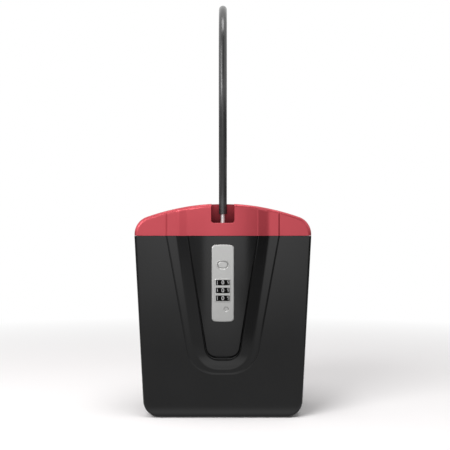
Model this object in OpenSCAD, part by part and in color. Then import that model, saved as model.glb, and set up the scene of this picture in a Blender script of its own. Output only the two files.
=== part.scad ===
// Portable beach safe: a tapered bin with a hinged lid, held shut by a sleeved loop
// whose toe drops through the lid into a three dial lock behind the front plate.
// Origin: centre of the flat base. The front, with the lock, faces -Y. Sizes in mm.

/* [Body] */
// Width at the seam between body and lid
body_w = 165; // [150:1:180]
// Depth at the seam, without the raised front
body_d = 96; // [90:1:110]
// Height of the body, from the base to the seam
body_h = 170; // [168:1:180]
// Draft of the two sides, in degrees
side_draft = 2.9; // [2:0.1:4]
// Draft of the front and the back, in degrees
face_draft = 1.5; // [1:0.1:2]
// Radius of the two bottom corners, seen from the front
base_r = 16; // [10:1:20]
// Rounding of the edges round the front and the back
edge_r = 4; // [2:0.5:5]
// Wall thickness of body and lid
wall = 3.6; // [3:0.1:4.5]

/* [Lid] */
// Height of the lid at its middle, above the seam
lid_h = 30; // [28:1:36]
// Radius of the crowned top, seen from the front
crown_r = 213; // [190:1:260]
// Radius of the two top corners, seen from the front
lid_corner_r = 17; // [12:1:18]
// Gap between lid and body at the seam
seam_gap = 0.3; // [0.2:0.1:0.6]
// Depth of the lip that reaches down inside the body
lip_h = 3; // [2:0.5:5]

/* [Raised front] */
// Half width of the ledge at the seam
ledge_w = 52.7; // [50:0.1:55]
// Half width of the slope's foot at the seam
slope_w = 41.8; // [39:0.1:44]
// Half width of the slope's crest at the seam
crest_w = 33; // [31:0.1:35]
// Height of the ledge above the front panel
ledge_t = 1.2; // [0.8:0.1:2]
// Height of the slope's crest above the front panel at the seam
crest_t = 5; // [4:0.1:6]
// Height of the lock shield's middle above the front panel at the seam
shield_t = 8; // [7.5:0.1:9]
// Height of the ledge's lowest point above the base
ledge_z = 41; // [38:1:46]
// Width of the border between the crest and the shield's side
shield_side = 1.2; // [0.8:0.1:2]
// Width of the border under the shield
shield_foot = 4.4; // [3:0.1:5]

/* [Notch] */
// Width of the notch in the lid
notch_w = 21; // [19:0.5:23]
// Depth of the notch below the lid's middle
notch_h = 17.8; // [16:0.1:18]
// Reach of the notch behind the shield's middle
notch_reach = 24; // [19:0.5:26]
// Radius of the notch's two lower corners
notch_r = 1.5; // [1:0.1:3]

/* [Loop] */
// Distance from the heel's axis back to the back face
heel_back = 12; // [10.5:0.1:14]
// Distance from the shield's middle back to the toe's axis
toe_back = 12; // [11.5:0.1:12.5]
// How far each leg bows out beyond its foot
loop_bow = 22; // [15:1:26]
// Outer diameter of the sleeve
sleeve_d = 7.5; // [6.5:0.1:8]
// Diameter of the steel core
core_d = 4; // [3.5:0.1:4.2]
// Lift of the loop, from seated to released
loop_lift = 26; // [22:1:26]
// Length of the bare toe that shows above the notch's floor
toe_show = 8.3; // [6:0.1:10]
// Length of the toe below the notch's floor
toe_depth = 18.2; // [17:0.1:19]

/* [Lock plate] */
// Width of the metal plate
plate_w = 20.8; // [20:0.1:22]
// Distance from the lower screws down to the plate's bottom edge
plate_foot = 4.4; // [4:0.1:6]
// Thickness of the metal plate
plate_t = 2; // [1.6:0.1:2.4]
// Distance from the seam down to the plate's top
plate_drop = 7.8; // [6:0.1:9]
// Distance from the plate's top to the button's middle
button_drop = 18.7; // [18:0.1:20]
// Width of the release button
button_w = 8.8; // [8.4:0.1:11]
// Height of the release button
button_h = 6.2; // [6:0.1:8]
// Travel of the release button and of the latch bolt
button_travel = 2.5; // [2.2:0.1:2.5]

/* [Dials] */
// Distance from the plate's top to the top dial's middle
dial_drop = 35; // [34.5:0.1:36]
// Distance from one dial to the next
dial_pitch = 7.2; // [7:0.1:7.4]
// Diameter of a number wheel
dial_d = 17; // [16.6:0.1:17.2]
// Height of a number wheel
dial_h = 4.4; // [4:0.1:4.5]
// How far the wheels stand out of the plate's face
dial_proud = 0.5; // [0.3:0.1:0.8]
// Width of a dial window
window_w = 12.9; // [12:0.1:13.4]
// Height of a dial window
window_h = 5; // [4.8:0.1:5.4]
// Diameter of the shaft that the wheels turn on
shaft_d = 3.2; // [3:0.1:3.4]

/* [Hinge] */
// Diameter of the hinge knuckles
knuckle_d = 9; // [8:0.1:9.4]
// Diameter of the hinge pin
hinge_pin_d = 4; // [3:0.1:5]
// Length of the body's middle knuckle
knuckle_mid = 40; // [30:1:50]
// Length of each of the lid's two knuckles
knuckle_end = 20; // [14:1:24]
// Distance from the back wall to the pin's axis
hinge_back = 5; // [5:0.1:6]

/* [Clearances] */
// Radial gap between a shaft and what turns or slides on it
run_gap = 0.08; // [0.04:0.01:0.1]
// Gap between rigid pieces that are set into each other
fit_gap = 0.3; // [0.2:0.05:0.5]

/* [Hidden] */
$fn = 64;
eps = 0.01;

// Levels and planes shared by several pieces
seam_z = body_h;
lid_z = seam_z + seam_gap;
top_z = seam_z + lid_h;
front_y = -body_d / 2;
back_y = body_d / 2;
ledge_y = front_y - ledge_t;
crest_y = front_y - crest_t;
shield_y = front_y - shield_t;
floor_z = top_z - notch_h;
toe_y = shield_y + toe_back;
toe_low_z = floor_z - toe_depth;
heel_y = back_y - heel_back;
loop_span = heel_y - toe_y;

// Raised front: half widths and lowest points of the nested outlines
ledge_low_r = 28;
ledge_low_x = 6;
slope_low_r = 25;
slope_low_x = 3.5;
crest_low_r = 13;
crest_low_x = 4.2;
shield_low_r = 8.4;
shield_low_x = 6.6;
slope_z = ledge_z + 4.3;
crest_z = ledge_z + 14;
shield_edge_t = crest_t + 0.6;
shield_half = crest_w - shield_side;
shield_bulge = shield_t - shield_edge_t;
shield_r = (shield_half * shield_half + shield_bulge * shield_bulge) / (2 * shield_bulge);

// Lock plate and what it frames
plate_z1 = seam_z - plate_drop;
plate_y1 = shield_y + 0.6;
plate_y0 = plate_y1 - plate_t;
plate_corner = 3;
recess_rim = 2.2;
button_z = plate_z1 - button_drop;
dial_z = [for (i = [0:2]) plate_z1 - dial_drop - i * dial_pitch];
dial_y = plate_y0 - dial_proud + dial_d / 2;
shelf_t = 1.6;
shelf_low_z = dial_z[2] - dial_pitch + dial_h / 2 - 0.2;
shelf_top_z = dial_z[0] + dial_h / 2 + 0.3;
reset_x = 3;
reset_d = 3.2;
reset_z = shelf_low_z - shelf_t - reset_d;
reset_travel = 1.5;
boss_d = 5.2;
boss_h = shield_y + wall - plate_y1;
screw_x = 7;
screw_d = 3;
head_d = 5.4;
head_t = 1.8;
screw_zs = [plate_z1 - boss_d - 0.2, reset_z - boss_d - 2.2];
plate_z0 = screw_zs[1] - plate_foot;
plate_h = plate_z1 - plate_z0;
plate_z = (plate_z0 + plate_z1) / 2;
opening_w = dial_d + 1;

// Lock case, behind the front wall
case_w = 24;
case_wall = 1.6;
case_y0 = shield_y + wall;
case_y1 = case_y0 + 22;
case_z0 = plate_z0 + 0.8;
case_z1 = seam_z - 5;
cover_t = 2;
tower_w = 12;
tower_z1 = floor_z - wall - 0.8;
tower_y0 = toe_y - 6;
tower_y1 = toe_y + 7;

// Dial stack
cam_r = dial_d / 2 - 2.9;
rim_t = 0.9;
rim_h = 1.4;
hub_r = 3;
gate_w = 2.4;
ring_in_r = dial_d / 2 - 1.3;
half_h = dial_h / 2;
arm_t = 0.8;
arm_z = -dial_pitch / 2 - arm_t / 2;

// Latch bolt and fence
bolt_travel = button_travel;
strip_w = 6;
slot_w = strip_w + 1;
strip_t = 1.5;
strip_y = dial_y + dial_d / 2 + fit_gap + bolt_travel;
groove_z = seam_z - 2.2;
groove_h = 2.6;
groove_r = core_d / 2 - 0.7;
fork_t = groove_h - 2 * 0.4;
fork_tip_y = toe_y + core_d / 2 + 0.5;
finger_t = 1;
finger_y = dial_y + cam_r + 0.3;

// Webs in the case that the springs of the button and the reset pin press on
web_t = 1.1;
stem_end_y = strip_y - bolt_travel - 0.3;
web_y = stem_end_y - 1;
reset_web_y = case_y0 + 5;
flange_t = 1;
stem_d = 4;
reset_stem_d = 2;
wire_r = 0.3;
fine_wire_r = 0.25;

// Hinge
hinge_y = back_y + hinge_back;
hinge_z = seam_z + seam_gap / 2;
knuckle_gap = 0.4;

// Loop: each leg leans out, bows back in and joins the top arc
lean = 24;
bow_in = 10;
foot_r = 70;
leg_x = loop_span / 2;
foot_out = foot_r * (1 - cos(lean));
leg_r = (loop_bow - foot_out) / (1 - cos(lean));
wide_x = leg_x + loop_bow;
top_arc_r = (wide_x - leg_r * (1 - cos(bow_in))) / cos(bow_in);
loop_z = top_z + 4;
wide_z = loop_z + (foot_r + leg_r) * sin(lean);
top_arc_z = wide_z + leg_r * sin(bow_in) - top_arc_r * sin(bow_in);
loop_y = toe_y + leg_x;
sleeve_toe_z = floor_z + toe_show;
bush_top_z = top_z + 1.3;
sleeve_heel_z = bush_top_z + fit_gap;
core_gap = 0.05;
heel_d = 6;
bush_d = 11.8;
bush_low_z = top_z - 16;
clip_t = 1.2;
clip_z = bush_low_z - loop_lift - clip_t - 0.2;
heel_low_z = clip_z - 2.2;

black = [0.13, 0.13, 0.14];
red = [0.77, 0.33, 0.36];
steel = [0.78, 0.79, 0.8];

// Points on an arc from angle a to angle b
function arc(x, z, r, a, b, n = 8) =
    [for (i = [0:n]) [x + r * cos(a + (b - a) * i / n), z + r * sin(a + (b - a) * i / n)]];

// Angle on a circle where the tangent from an outside point touches it
function touch(px, pz, x, z, r) =
    atan2(pz - z, px - x) - acos(r / norm([px - x, pz - z]));

// Funnel outline: half width w at height z1, round foot of radius r at height z0
function funnel_side(w, z1, x, r, z0) = arc(x, z0 + r, r, touch(w, z1, x, z0 + r, r), -90);
function funnel(w, z1, x, r, z0) = let (s = funnel_side(w, z1, x, r, z0)) concat(
    [[-w, z1], [w, z1]], s, [for (i = [len(s) - 1:-1:0]) [-s[i][0], s[i][1]]]);

// Outline of the body seen from the front, drawn in by a margin
module body_profile(inset, low, high) {
    half_top = body_w / 2 - inset;
    slope = tan(side_draft);
    r = max(base_r - inset, 2);
    foot = half_top - (seam_z - low - r) * slope - r / cos(side_draft);
    side = arc(foot, low + r, r, -side_draft, -90);
    polygon(concat(
        [[-half_top - (high - seam_z) * slope, high], [half_top + (high - seam_z) * slope, high]],
        side, [for (i = [len(side) - 1:-1:0]) [-side[i][0], side[i][1]]]));
}

// Outline of the lid seen from the front, drawn in by a margin
module lid_profile(inset) {
    r = lid_corner_r - inset;
    half = body_w / 2 - inset;
    corner_x = body_w / 2 - lid_corner_r;
    crown_z = top_z - crown_r;
    corner_z = crown_z + sqrt(pow(crown_r - lid_corner_r, 2) - pow(corner_x, 2));
    turn = atan2(corner_z - crown_z, corner_x);
    polygon(concat(
        [[-half, lid_z], [half, lid_z]],
        arc(corner_x, corner_z, r, 0, turn, 7),
        arc(0, crown_z, crown_r - inset, turn, 180 - turn, 18),
        arc(-corner_x, corner_z, r, 180 - turn, 180, 7)));
}

// Stands an outline drawn in x and z at depth y, with a thickness towards the back
module standing(y, t) {
    translate([0, y + t, 0]) rotate([90, 0, 0]) linear_extrude(t) children();
}

// Tilts a plane at the front or the back by the draft, about the seam
module drafted(y, side) {
    translate([0, y, seam_z]) rotate([-side * face_draft, 0, 0]) translate([0, -y, -seam_z])
        children();
}

// Body or its hollow: outlines that step in round the front and back edges
module body_block(inset, round_r, low) {
    steps = round_r > 0 ? [0, 30, 60, 90] : [0];
    intersection() {
        hull() for (side = [-1, 1], a = steps) {
            drop = round_r * (1 - cos(a));
            y = side * (body_d / 2 - inset - round_r + round_r * sin(a));
            drafted(y, side) standing(y - (side > 0 ? eps : 0), eps)
                body_profile(inset + drop, low + drop, seam_z + 6);
        }
        translate([-body_w, -body_d, low]) cube([2 * body_w, 2 * body_d, seam_z - low + inset]);
    }
}

// Ledge, slope and shield, each outline seated on the panel behind it
module raised_front() {
    intersection() {
        union() {
            hull() {
                drafted(front_y, -1) standing(front_y, 1)
                    polygon(funnel(ledge_w, seam_z, ledge_low_x, ledge_low_r, ledge_z));
                drafted(front_y, -1) standing(ledge_y, eps)
                    polygon(funnel(ledge_w - ledge_t, seam_z, ledge_low_x - ledge_t,
                        ledge_low_r, ledge_z + ledge_t));
            }
            hull() {
                drafted(front_y, -1) standing(ledge_y, 2)
                    polygon(funnel(slope_w, seam_z, slope_low_x, slope_low_r, slope_z));
                standing(crest_y, eps)
                    polygon(funnel(crest_w, seam_z, crest_low_x, crest_low_r, crest_z));
            }
            shield_core(seam_z, crest_z + shield_foot);
        }
        translate([-body_w, -body_d, 0]) cube([2 * body_w, body_d, seam_z]);
    }
}

// Shield face: a prism cut to a gentle curve across its width
module shield_core(z1, z0) {
    intersection() {
        standing(shield_y - 1, shield_t + 2)
            polygon(funnel(shield_half, z1, shield_low_x, shield_low_r, z0));
        translate([0, shield_y + shield_r, 0]) cylinder(r = shield_r, h = top_z, $fn = 360);
    }
}

// Body: a tapered bin with the raised front, a knuckle and the room for the lock
module body_shell() color(black) {
    difference() {
        union() {
            body_block(0, edge_r, 0);
            raised_front();
            hinge_web(-1);
            knuckle(-knuckle_mid / 2, knuckle_mid);
        }
        body_block(wall, 0, wall);
        hinge_bore();
        plate_pocket();
        wall_openings();
        lock_seat();
        raised_hollow();
    }
}

// Hollow behind the raised front, so that its wall stays thin
module raised_hollow() {
    intersection() {
        hull() {
            drafted(front_y, -1) standing(front_y + wall, 1)
                polygon(funnel(slope_w - wall, seam_z + 3, slope_low_x, slope_low_r - wall,
                    slope_z + wall));
            standing(crest_y + wall, eps)
                polygon(funnel(crest_w - wall, seam_z + 3, crest_low_x, crest_low_r - wall,
                    crest_z + wall));
        }
        translate([-body_w, -body_d, 0]) cube([2 * body_w, body_d, seam_z + 1]);
    }
}

module lock_seat() {
    translate([-case_w / 2 - fit_gap, case_y0, case_z0 - fit_gap])
        cube([case_w + 2 * fit_gap, wall + shield_t, seam_z - case_z0 + 2]);
}

module plate_pocket() {
    grown = 2 * fit_gap;
    standing(plate_y1 - 5, 5)
        rounded(plate_w + grown, plate_h + grown, plate_corner, plate_z);
}

module wall_openings() {
    low = reset_z - reset_d - 0.2;
    high = button_z + 6;
    translate([-opening_w / 2, plate_y1 - eps, low]) cube([opening_w, boss_h + 5, high - low]);
    for (x = [-screw_x, screw_x], z = screw_zs)
        translate([x, plate_y1 - eps, z]) rotate([-90, 0, 0])
            cylinder(d = boss_d + fit_gap, h = boss_h + 5);
}

// Rounded rectangle about x = 0 at a given height
module rounded(w, h, r, z) {
    x = w / 2 - r;
    y = h / 2 - r;
    translate([0, z]) polygon(concat(
        arc(x, y, r, 0, 90), arc(-x, y, r, 90, 180),
        arc(-x, -y, r, 180, 270), arc(x, -y, r, 270, 360)));
}

// Hinge: knuckles on one pin behind the back wall
module knuckle(x, length) {
    translate([x, hinge_y, hinge_z]) rotate([0, 90, 0]) cylinder(d = knuckle_d, h = length);
}

module hinge_bore() {
    translate([-body_w / 2, hinge_y, hinge_z]) rotate([0, 90, 0])
        cylinder(r = hinge_pin_d / 2 + run_gap, h = body_w);
}

// Webs that carry the knuckles: side -1 is below the axis, 1 above
module hinge_web(side) {
    low = side < 0 ? hinge_z - knuckle_d / 2 : lid_z;
    high = side < 0 ? seam_z : hinge_z + knuckle_d / 2;
    spans = side < 0 ? [[-knuckle_mid / 2, knuckle_mid]]
        : [for (s = [-1, 1]) [s > 0 ? knuckle_mid / 2 + knuckle_gap
            : -knuckle_mid / 2 - knuckle_gap - knuckle_end, knuckle_end]];
    for (s = spans)
        translate([s[0], back_y - wall / 2, low]) cube([s[1], hinge_back + wall / 2, high - low]);
}

module hinge_pin() color(steel) {
    length = knuckle_mid + 2 * knuckle_end + 2 * knuckle_gap;
    translate([-length / 2, hinge_y, hinge_z]) rotate([0, 90, 0])
        cylinder(d = hinge_pin_d, h = length);
}

// Lid block: outlines that step in round the front and back edges
module lid_block(inset, round_r) {
    steps = round_r > 0 ? [0, 30, 60, 90] : [0];
    hull() for (side = [-1, 1], a = steps) {
        y = side * (body_d / 2 - inset - round_r + round_r * sin(a));
        standing(y - (side > 0 ? eps : 0), eps) lid_profile(inset + round_r * (1 - cos(a)));
    }
}

// Front of the lid: the same ledge, slope and shield, straight up
module lid_front() {
    edge = asin(shield_half / shield_r);
    face = [for (i = [0:16]) let (a = -edge + 2 * edge * i / 16)
        [shield_r * sin(a), shield_y + shield_r * (1 - cos(a))]];
    intersection() {
        translate([0, 0, lid_z]) linear_extrude(lid_h) polygon(concat(
            [[ledge_w, front_y + 5], [-ledge_w, front_y + 5]],
            [[-ledge_w, front_y], [-ledge_w + ledge_t, ledge_y], [-slope_w, ledge_y]],
            [[-crest_w, crest_y]], face, [[crest_w, crest_y]],
            [[slope_w, ledge_y], [ledge_w - ledge_t, ledge_y], [ledge_w, front_y]]));
        hull() {
            standing(front_y - shield_t + edge_r, 10) lid_profile(0);
            standing(front_y - shield_t, eps) lid_profile(edge_r / 2);
        }
    }
}

module notch_outline(grow) {
    w = notch_w / 2 + grow;
    z = floor_z - grow;
    r = notch_r + grow;
    polygon(concat([[w, top_z + 5], [-w, top_z + 5]],
        arc(-w + r, z + r, r, 180, 270, 5), arc(w - r, z + r, r, 270, 360, 5)));
}

module lid() color(red) {
    difference() {
        union() {
            difference() {
                union() {
                    lid_block(0, edge_r);
                    lid_front();
                }
                intersection() {
                    lid_block(wall, 0);
                    translate([-body_w, -body_d, seam_z - 1]) cube([2 * body_w, 2 * body_d, lid_h]);
                }
                lid_underside();
            }
            intersection() {
                standing(shield_y + 1, notch_reach + wall - 1) notch_outline(wall - 0.6);
                lid_block(1, 0);
            }
            lid_lip();
            heel_boss();
            hinge_web(1);
            for (s = [-1, 1])
                knuckle(s > 0 ? knuckle_mid / 2 + knuckle_gap
                    : -knuckle_mid / 2 - knuckle_gap - knuckle_end, knuckle_end);
        }
        standing(shield_y - 2, notch_reach + 2) notch_outline(0);
        hinge_bore();
        translate([0, toe_y, seam_z]) cylinder(r = core_d / 2 + 0.6, h = lid_h);
        translate([0, heel_y, seam_z]) cylinder(d = bush_d + 2 * core_gap, h = 2 * lid_h);
    }
}

// Room in the lid behind the shield for the top of the lock
module lid_underside() {
    translate([-15, case_y0, lid_z - 1]) cube([30, 8, lid_h - notch_h - wall + 1]);
}

// Lip inside the body's rim, left out where the lock stands
module lid_lip() {
    out = wall + 0.5;
    thick = 1.8;
    difference() {
        union() {
            rim_block(out, seam_z - lip_h, lip_h + 2);
            rim_block(wall - 0.6, lid_z, 1.7);
        }
        rim_block(out + thick, seam_z - lip_h - 1, lip_h + 4);
        translate([-case_w / 2 - 2, front_y, seam_z - lip_h - 1]) cube([case_w + 4, 30, lip_h + 4]);
    }
}

module rim_block(inset, z, h) {
    translate([-body_w / 2 + inset, front_y + inset, z])
        cube([body_w - 2 * inset, body_d - 2 * inset, h]);
}

module heel_boss() {
    intersection() {
        translate([0, heel_y, bush_low_z + 1]) cylinder(d = bush_d + 2 * wall, h = lid_h);
        lid_block(1, 0);
    }
}

// Lock plate with its button window, dial windows and reset hole
module lock_plate() color(steel) {
    difference() {
        union() {
            standing(plate_y0 + 0.6, plate_t - 0.6)
                rounded(plate_w, plate_h, plate_corner, plate_z);
            standing(plate_y0, 0.6 + eps)
                rounded(plate_w - 1, plate_h - 1, plate_corner - 0.5, plate_z);
            for (x = [-screw_x, screw_x], z = screw_zs)
                translate([x, plate_y1 - eps, z]) rotate([-90, 0, 0])
                    cylinder(d = boss_d, h = boss_h + eps);
        }
        standing(plate_y0 - 1, 1.9)
            rounded(button_w + recess_rim, button_h + recess_rim, (button_h + recess_rim) / 2 - 0.2,
                button_z);
        standing(plate_y0 - 1, plate_t + 2)
            rounded(button_w + 2 * fit_gap, button_h + 2 * fit_gap, button_h / 2 + 0.2, button_z);
        for (z = dial_z) translate([-window_w / 2, plate_y0 - 1, z - window_h / 2])
            cube([window_w, plate_t + 2, window_h]);
        translate([reset_x, plate_y0 - 1, reset_z]) rotate([-90, 0, 0])
            cylinder(d = reset_d + 0.6, h = plate_t + 2);
        for (x = [-screw_x, screw_x], z = screw_zs)
            translate([x, plate_y0 + 1, z]) rotate([-90, 0, 0])
                cylinder(d = screw_d - 0.5, h = plate_t + boss_h);
    }
}

// Lock case: a box behind the front wall, with shelves for the dial shaft
module lock_case() color(black) {
    difference() {
        union() {
            translate([-case_w / 2, case_y0, case_z0])
                cube([case_w, case_y1 - case_y0, case_z1 - case_z0]);
            translate([-tower_w / 2, tower_y0, case_z1 - 1])
                cube([tower_w, tower_y1 - tower_y0, tower_z1 - case_z1 + 1]);
        }
        bay(shelf_top_z + shelf_t, button_z + 6, case_y0 - 1, web_y);
        bay(shelf_top_z + shelf_t, button_z + 6, web_y + web_t, case_y1 + 1);
        bay(shelf_low_z, shelf_top_z, case_y0 - 1, case_y1 + 1);
        bay(reset_z - 4, shelf_low_z - shelf_t, case_y0 - 1, reset_web_y);
        translate([0, web_y - 1, button_z]) rotate([-90, 0, 0])
            cylinder(r = stem_d / 2 + run_gap, h = web_t + 2);
        translate([reset_x, reset_web_y - 1, reset_z]) rotate([-90, 0, 0])
            cylinder(r = reset_stem_d / 2 + run_gap, h = 3 + reset_travel);
        translate([-slot_w / 2, stem_end_y, shelf_top_z - 1])
            cube([slot_w, case_y1 - stem_end_y + 1, groove_z - shelf_top_z + 2]);
        translate([-slot_w / 2, toe_y - 0.6, groove_z - 0.6]) cube([slot_w, 30, groove_h + 1.2]);
        translate([0, dial_y, shelf_low_z - shelf_t - 1])
            cylinder(d = shaft_d, h = shelf_top_z - shelf_low_z + 2 * shelf_t + 2);
        translate([0, toe_y, toe_low_z - 2])
            cylinder(r = core_d / 2 + 0.5, h = tower_z1 - toe_low_z + 3);
        case_screw_holes();
    }
}

// Hollow across the case between two heights, from depth y0 back to y1
module bay(z0, z1, y0, y1) {
    inner = case_w - 2 * case_wall;
    translate([-inner / 2, y0, z0]) cube([inner, y1 - y0, z1 - z0]);
}

module case_screw_holes() {
    for (x = [-screw_x, screw_x], z = screw_zs) {
        translate([x, case_y0 - 1, z]) rotate([-90, 0, 0])
            cylinder(d = screw_d + 0.4, h = case_y1 + cover_t - case_y0 + 2);
    }
}

module lock_cover() color(black) {
    difference() {
        translate([-case_w / 2, case_y1, case_z0]) cube([case_w, cover_t, case_z1 - case_z0]);
        case_screw_holes();
    }
}

module lock_screws() color(steel) {
    tip = plate_y1 + 0.4;
    for (x = [-screw_x, screw_x], z = screw_zs) translate([x, 0, z]) difference() {
        union() {
            translate([0, tip, 0]) rotate([-90, 0, 0])
                cylinder(d = screw_d - 0.6, h = case_y1 + cover_t - tip);
            translate([0, case_y1 + cover_t, 0]) rotate([-90, 0, 0])
                cylinder(d = head_d, h = head_t);
        }
        for (a = [0, 90]) translate([0, case_y1 + cover_t + head_t - 0.4, 0]) rotate([0, a, 0])
            cube([head_d - 2.4, 1.4, 0.7], center = true);
    }
}

// Release button: a pill with a flange behind the plate and a stem to the latch bolt
module release_button() color(steel) {
    standing(plate_y0 + 0.4, plate_y1 - plate_y0 - 0.4 + eps)
        rounded(button_w, button_h, button_h / 2 - 0.1, button_z);
    standing(plate_y1, flange_t) rounded(button_w + 3, button_h + 1.6, 2, button_z);
    translate([0, plate_y1, button_z]) rotate([-90, 0, 0])
        cylinder(d = stem_d, h = stem_end_y - plate_y1);
}

// Coil of round wire about the y axis, one unbroken tube
function coil_point(t, r, y0, y1, turns) =
    [r * cos(360 * turns * t), y0 + (y1 - y0) * t, r * sin(360 * turns * t)];
module coil(r, wire, y0, y1, turns) {
    n = turns * 8;
    m = 6;
    function ring(t) = let (
        p = coil_point(t, r, y0, y1, turns),
        a = 360 * turns * t
    ) [for (k = [0:m - 1]) p + wire * (cos(360 * k / m) * [cos(a), 0, sin(a)]
        + sin(360 * k / m) * [0, 1, 0])];
    points = [for (i = [0:n]) each ring(i / n)];
    faces = concat(
        [for (k = [1:m - 2]) [0, k, k + 1]],
        [for (k = [1:m - 2]) [n * m, n * m + k + 1, n * m + k]],
        [for (i = [0:n - 1], k = [0:m - 1], h = [0, 1]) let (
            a = i * m + k, b = i * m + (k + 1) % m
        ) h == 0 ? [a, a + m, b] : [b, a + m, b + m]]);
    polyhedron(points, faces);
}

module button_spring() color(steel)
    translate([0, 0, button_z]) coil(2.9, wire_r, plate_y1 + flange_t + wire_r, web_y - wire_r, 6);
module bolt_spring() color(steel)
    translate([0, 0, button_z]) coil(2, wire_r, strip_y + strip_t + wire_r, case_y1 - wire_r, 5);
module reset_spring() color(steel)
    translate([reset_x, 0, reset_z])
        coil(1.5, fine_wire_r, plate_y1 + flange_t + fine_wire_r, reset_web_y - fine_wire_r, 5);

module dial_shaft() color(steel)
    translate([0, dial_y, shelf_low_z - shelf_t])
        cylinder(d = shaft_d, h = shelf_top_z + 2 * shelf_t - shelf_low_z);

// Number wheel: ten flats' worth of finger grooves, hollow below for the cam's rim
module number_wheel(i) translate([0, dial_y, dial_z[i]]) {
    seat_r = cam_r + core_gap;
    difference() {
        rotate_extrude() polygon([
            [ring_in_r, -half_h], [dial_d / 2 - 0.3, -half_h], [dial_d / 2, -half_h + 0.3],
            [dial_d / 2, half_h - 0.3], [dial_d / 2 - 0.3, half_h], [seat_r, half_h],
            [seat_r, -rim_h / 2 - 0.1], [ring_in_r, -rim_h / 2 - 0.1]]);
        for (k = [0:9]) rotate([0, 0, -72 + 36 * k]) translate([dial_d / 2 + 0.5, 0, -half_h - 1])
            cylinder(r = 0.7, h = dial_h + 2, $fn = 24);
    }
}

module dial_top() color(black) number_wheel(0);
module dial_middle() color(black) number_wheel(1);
module dial_bottom() color(black) number_wheel(2);

// Cam ring: a disc that carries the wheel, with a gated rim hanging below it
module cam_ring(i) translate([0, dial_y, dial_z[i]]) {
    disc_low = -rim_h / 2 - 0.1;
    bore_r = shaft_d / 2 + run_gap;
    difference() {
        union() {
            translate([0, 0, disc_low]) cylinder(r = cam_r, h = half_h - disc_low);
            translate([0, 0, disc_low - rim_h]) difference() {
                cylinder(r = cam_r, h = rim_h + eps);
                translate([0, 0, -1]) cylinder(r = cam_r - rim_t, h = rim_h + 1);
            }
            translate([0, 0, half_h - dial_pitch + 0.2])
                cylinder(r = hub_r, h = dial_pitch - 0.2 - half_h + disc_low + eps);
        }
        translate([0, 0, -dial_pitch]) cylinder(r = bore_r, h = 2 * dial_pitch);
        translate([-gate_w / 2, cam_r - rim_t - 0.5, disc_low - rim_h - 1])
            cube([gate_w, rim_t + 2, rim_h + 1]);
    }
}

module cam_top() color("goldenrod") cam_ring(0);
module cam_middle() color("goldenrod") cam_ring(1);
module cam_bottom() color("goldenrod") cam_ring(2);

// Spring leaf on the case's side wall, with one finger for each wheel
module dial_detent() color(steel) {
    leaf_x = case_w / 2 - case_wall - 0.5;
    low = dial_z[2] - 2.5;
    translate([leaf_x, dial_y + 4, low]) cube([0.5, 6, dial_z[0] - dial_z[2] + 5]);
    for (z = dial_z) {
        translate([leaf_x, dial_y - 1, z - 1.5]) cube([0.5, 5.5, 3]);
        translate([dial_d / 2 + 0.3, dial_y - 1, z - 1.5])
            cube([leaf_x + 0.5 - dial_d / 2 - 0.3, 0.6, 3]);
    }
}

// Latch bolt: an upright strip with a fork that catches in the toe's groove
module latch_bolt() color(steel) {
    fork_z = groove_z + (groove_h - fork_t) / 2;
    difference() {
        union() {
            translate([-strip_w / 2, strip_y, button_z - 5])
                cube([strip_w, strip_t, fork_z + fork_t - button_z + 5]);
            translate([-strip_w / 2, fork_tip_y, fork_z])
                cube([strip_w, strip_y + strip_t - fork_tip_y, fork_t]);
        }
        translate([-groove_r - 0.3, fork_tip_y - 1, fork_z - 1])
            cube([2 * groove_r + 0.6, bolt_travel + 1.5, fork_t + 2]);
    }
}

// Fence bar: three fingers that pass the cams' gates when the bolt moves
module fence_bar() color(steel) {
    low = dial_z[2] + arm_z - arm_t;
    translate([-strip_w / 2, strip_y, low]) cube([strip_w, strip_t, button_z - 5 - low]);
    for (z = dial_z) {
        translate([-0.8, finger_y, z + arm_z]) cube([1.6, strip_y - finger_y + eps, arm_t]);
        translate([-0.8, finger_y, z + arm_z + arm_t - eps])
            cube([1.6, finger_t, -rim_h / 2 - 0.5 - arm_z - arm_t]);
    }
}

// Reset pin: a recessed button pressed with a pointed tool to change the code
module reset_pin() color(steel) {
    translate([reset_x, 0, reset_z]) rotate([-90, 0, 0]) {
        translate([0, 0, plate_y0 + 0.9]) cylinder(d = reset_d, h = plate_t - 0.9 + eps);
        translate([0, 0, plate_y1]) cylinder(d = reset_d + 1.8, h = flange_t);
        translate([0, 0, plate_y1]) cylinder(d = reset_stem_d, h = reset_web_y + 1 - plate_y1);
    }
}

// Rear half of the loop's path from its foot at height z: [distance out, height, lean]
function half_path(z) = concat(
    [[leg_x, z, 0]],
    [for (i = [0:4]) let (a = lean * i / 4)
        [leg_x + foot_r * (1 - cos(a)), loop_z + foot_r * sin(a), -a]],
    [for (i = [1:10]) let (a = -lean + (lean + bow_in) * i / 10)
        [wide_x - leg_r * (1 - cos(a)), wide_z + leg_r * sin(a), a]],
    [for (i = [1:12]) let (a = bow_in + (90 - bow_in) * i / 12)
        [top_arc_r * cos(a), top_arc_z + top_arc_r * sin(a), a]]);

// Whole path, from the heel over the top to the toe
function loop_path(toe_foot, heel_foot) = let (
    rear = half_path(heel_foot),
    front = half_path(toe_foot)
) concat(rear, [for (i = [len(front) - 2:-1:0]) [-front[i][0], front[i][1], 180 - front[i][2]]]);

function ring(p, r, m) = [for (k = [0:m - 1]) let (c = r * cos(360 * k / m), s = r * sin(360 * k / m))
    [c, loop_y + p[0] + s * cos(p[2]), p[1] + s * sin(p[2])]];

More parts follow.
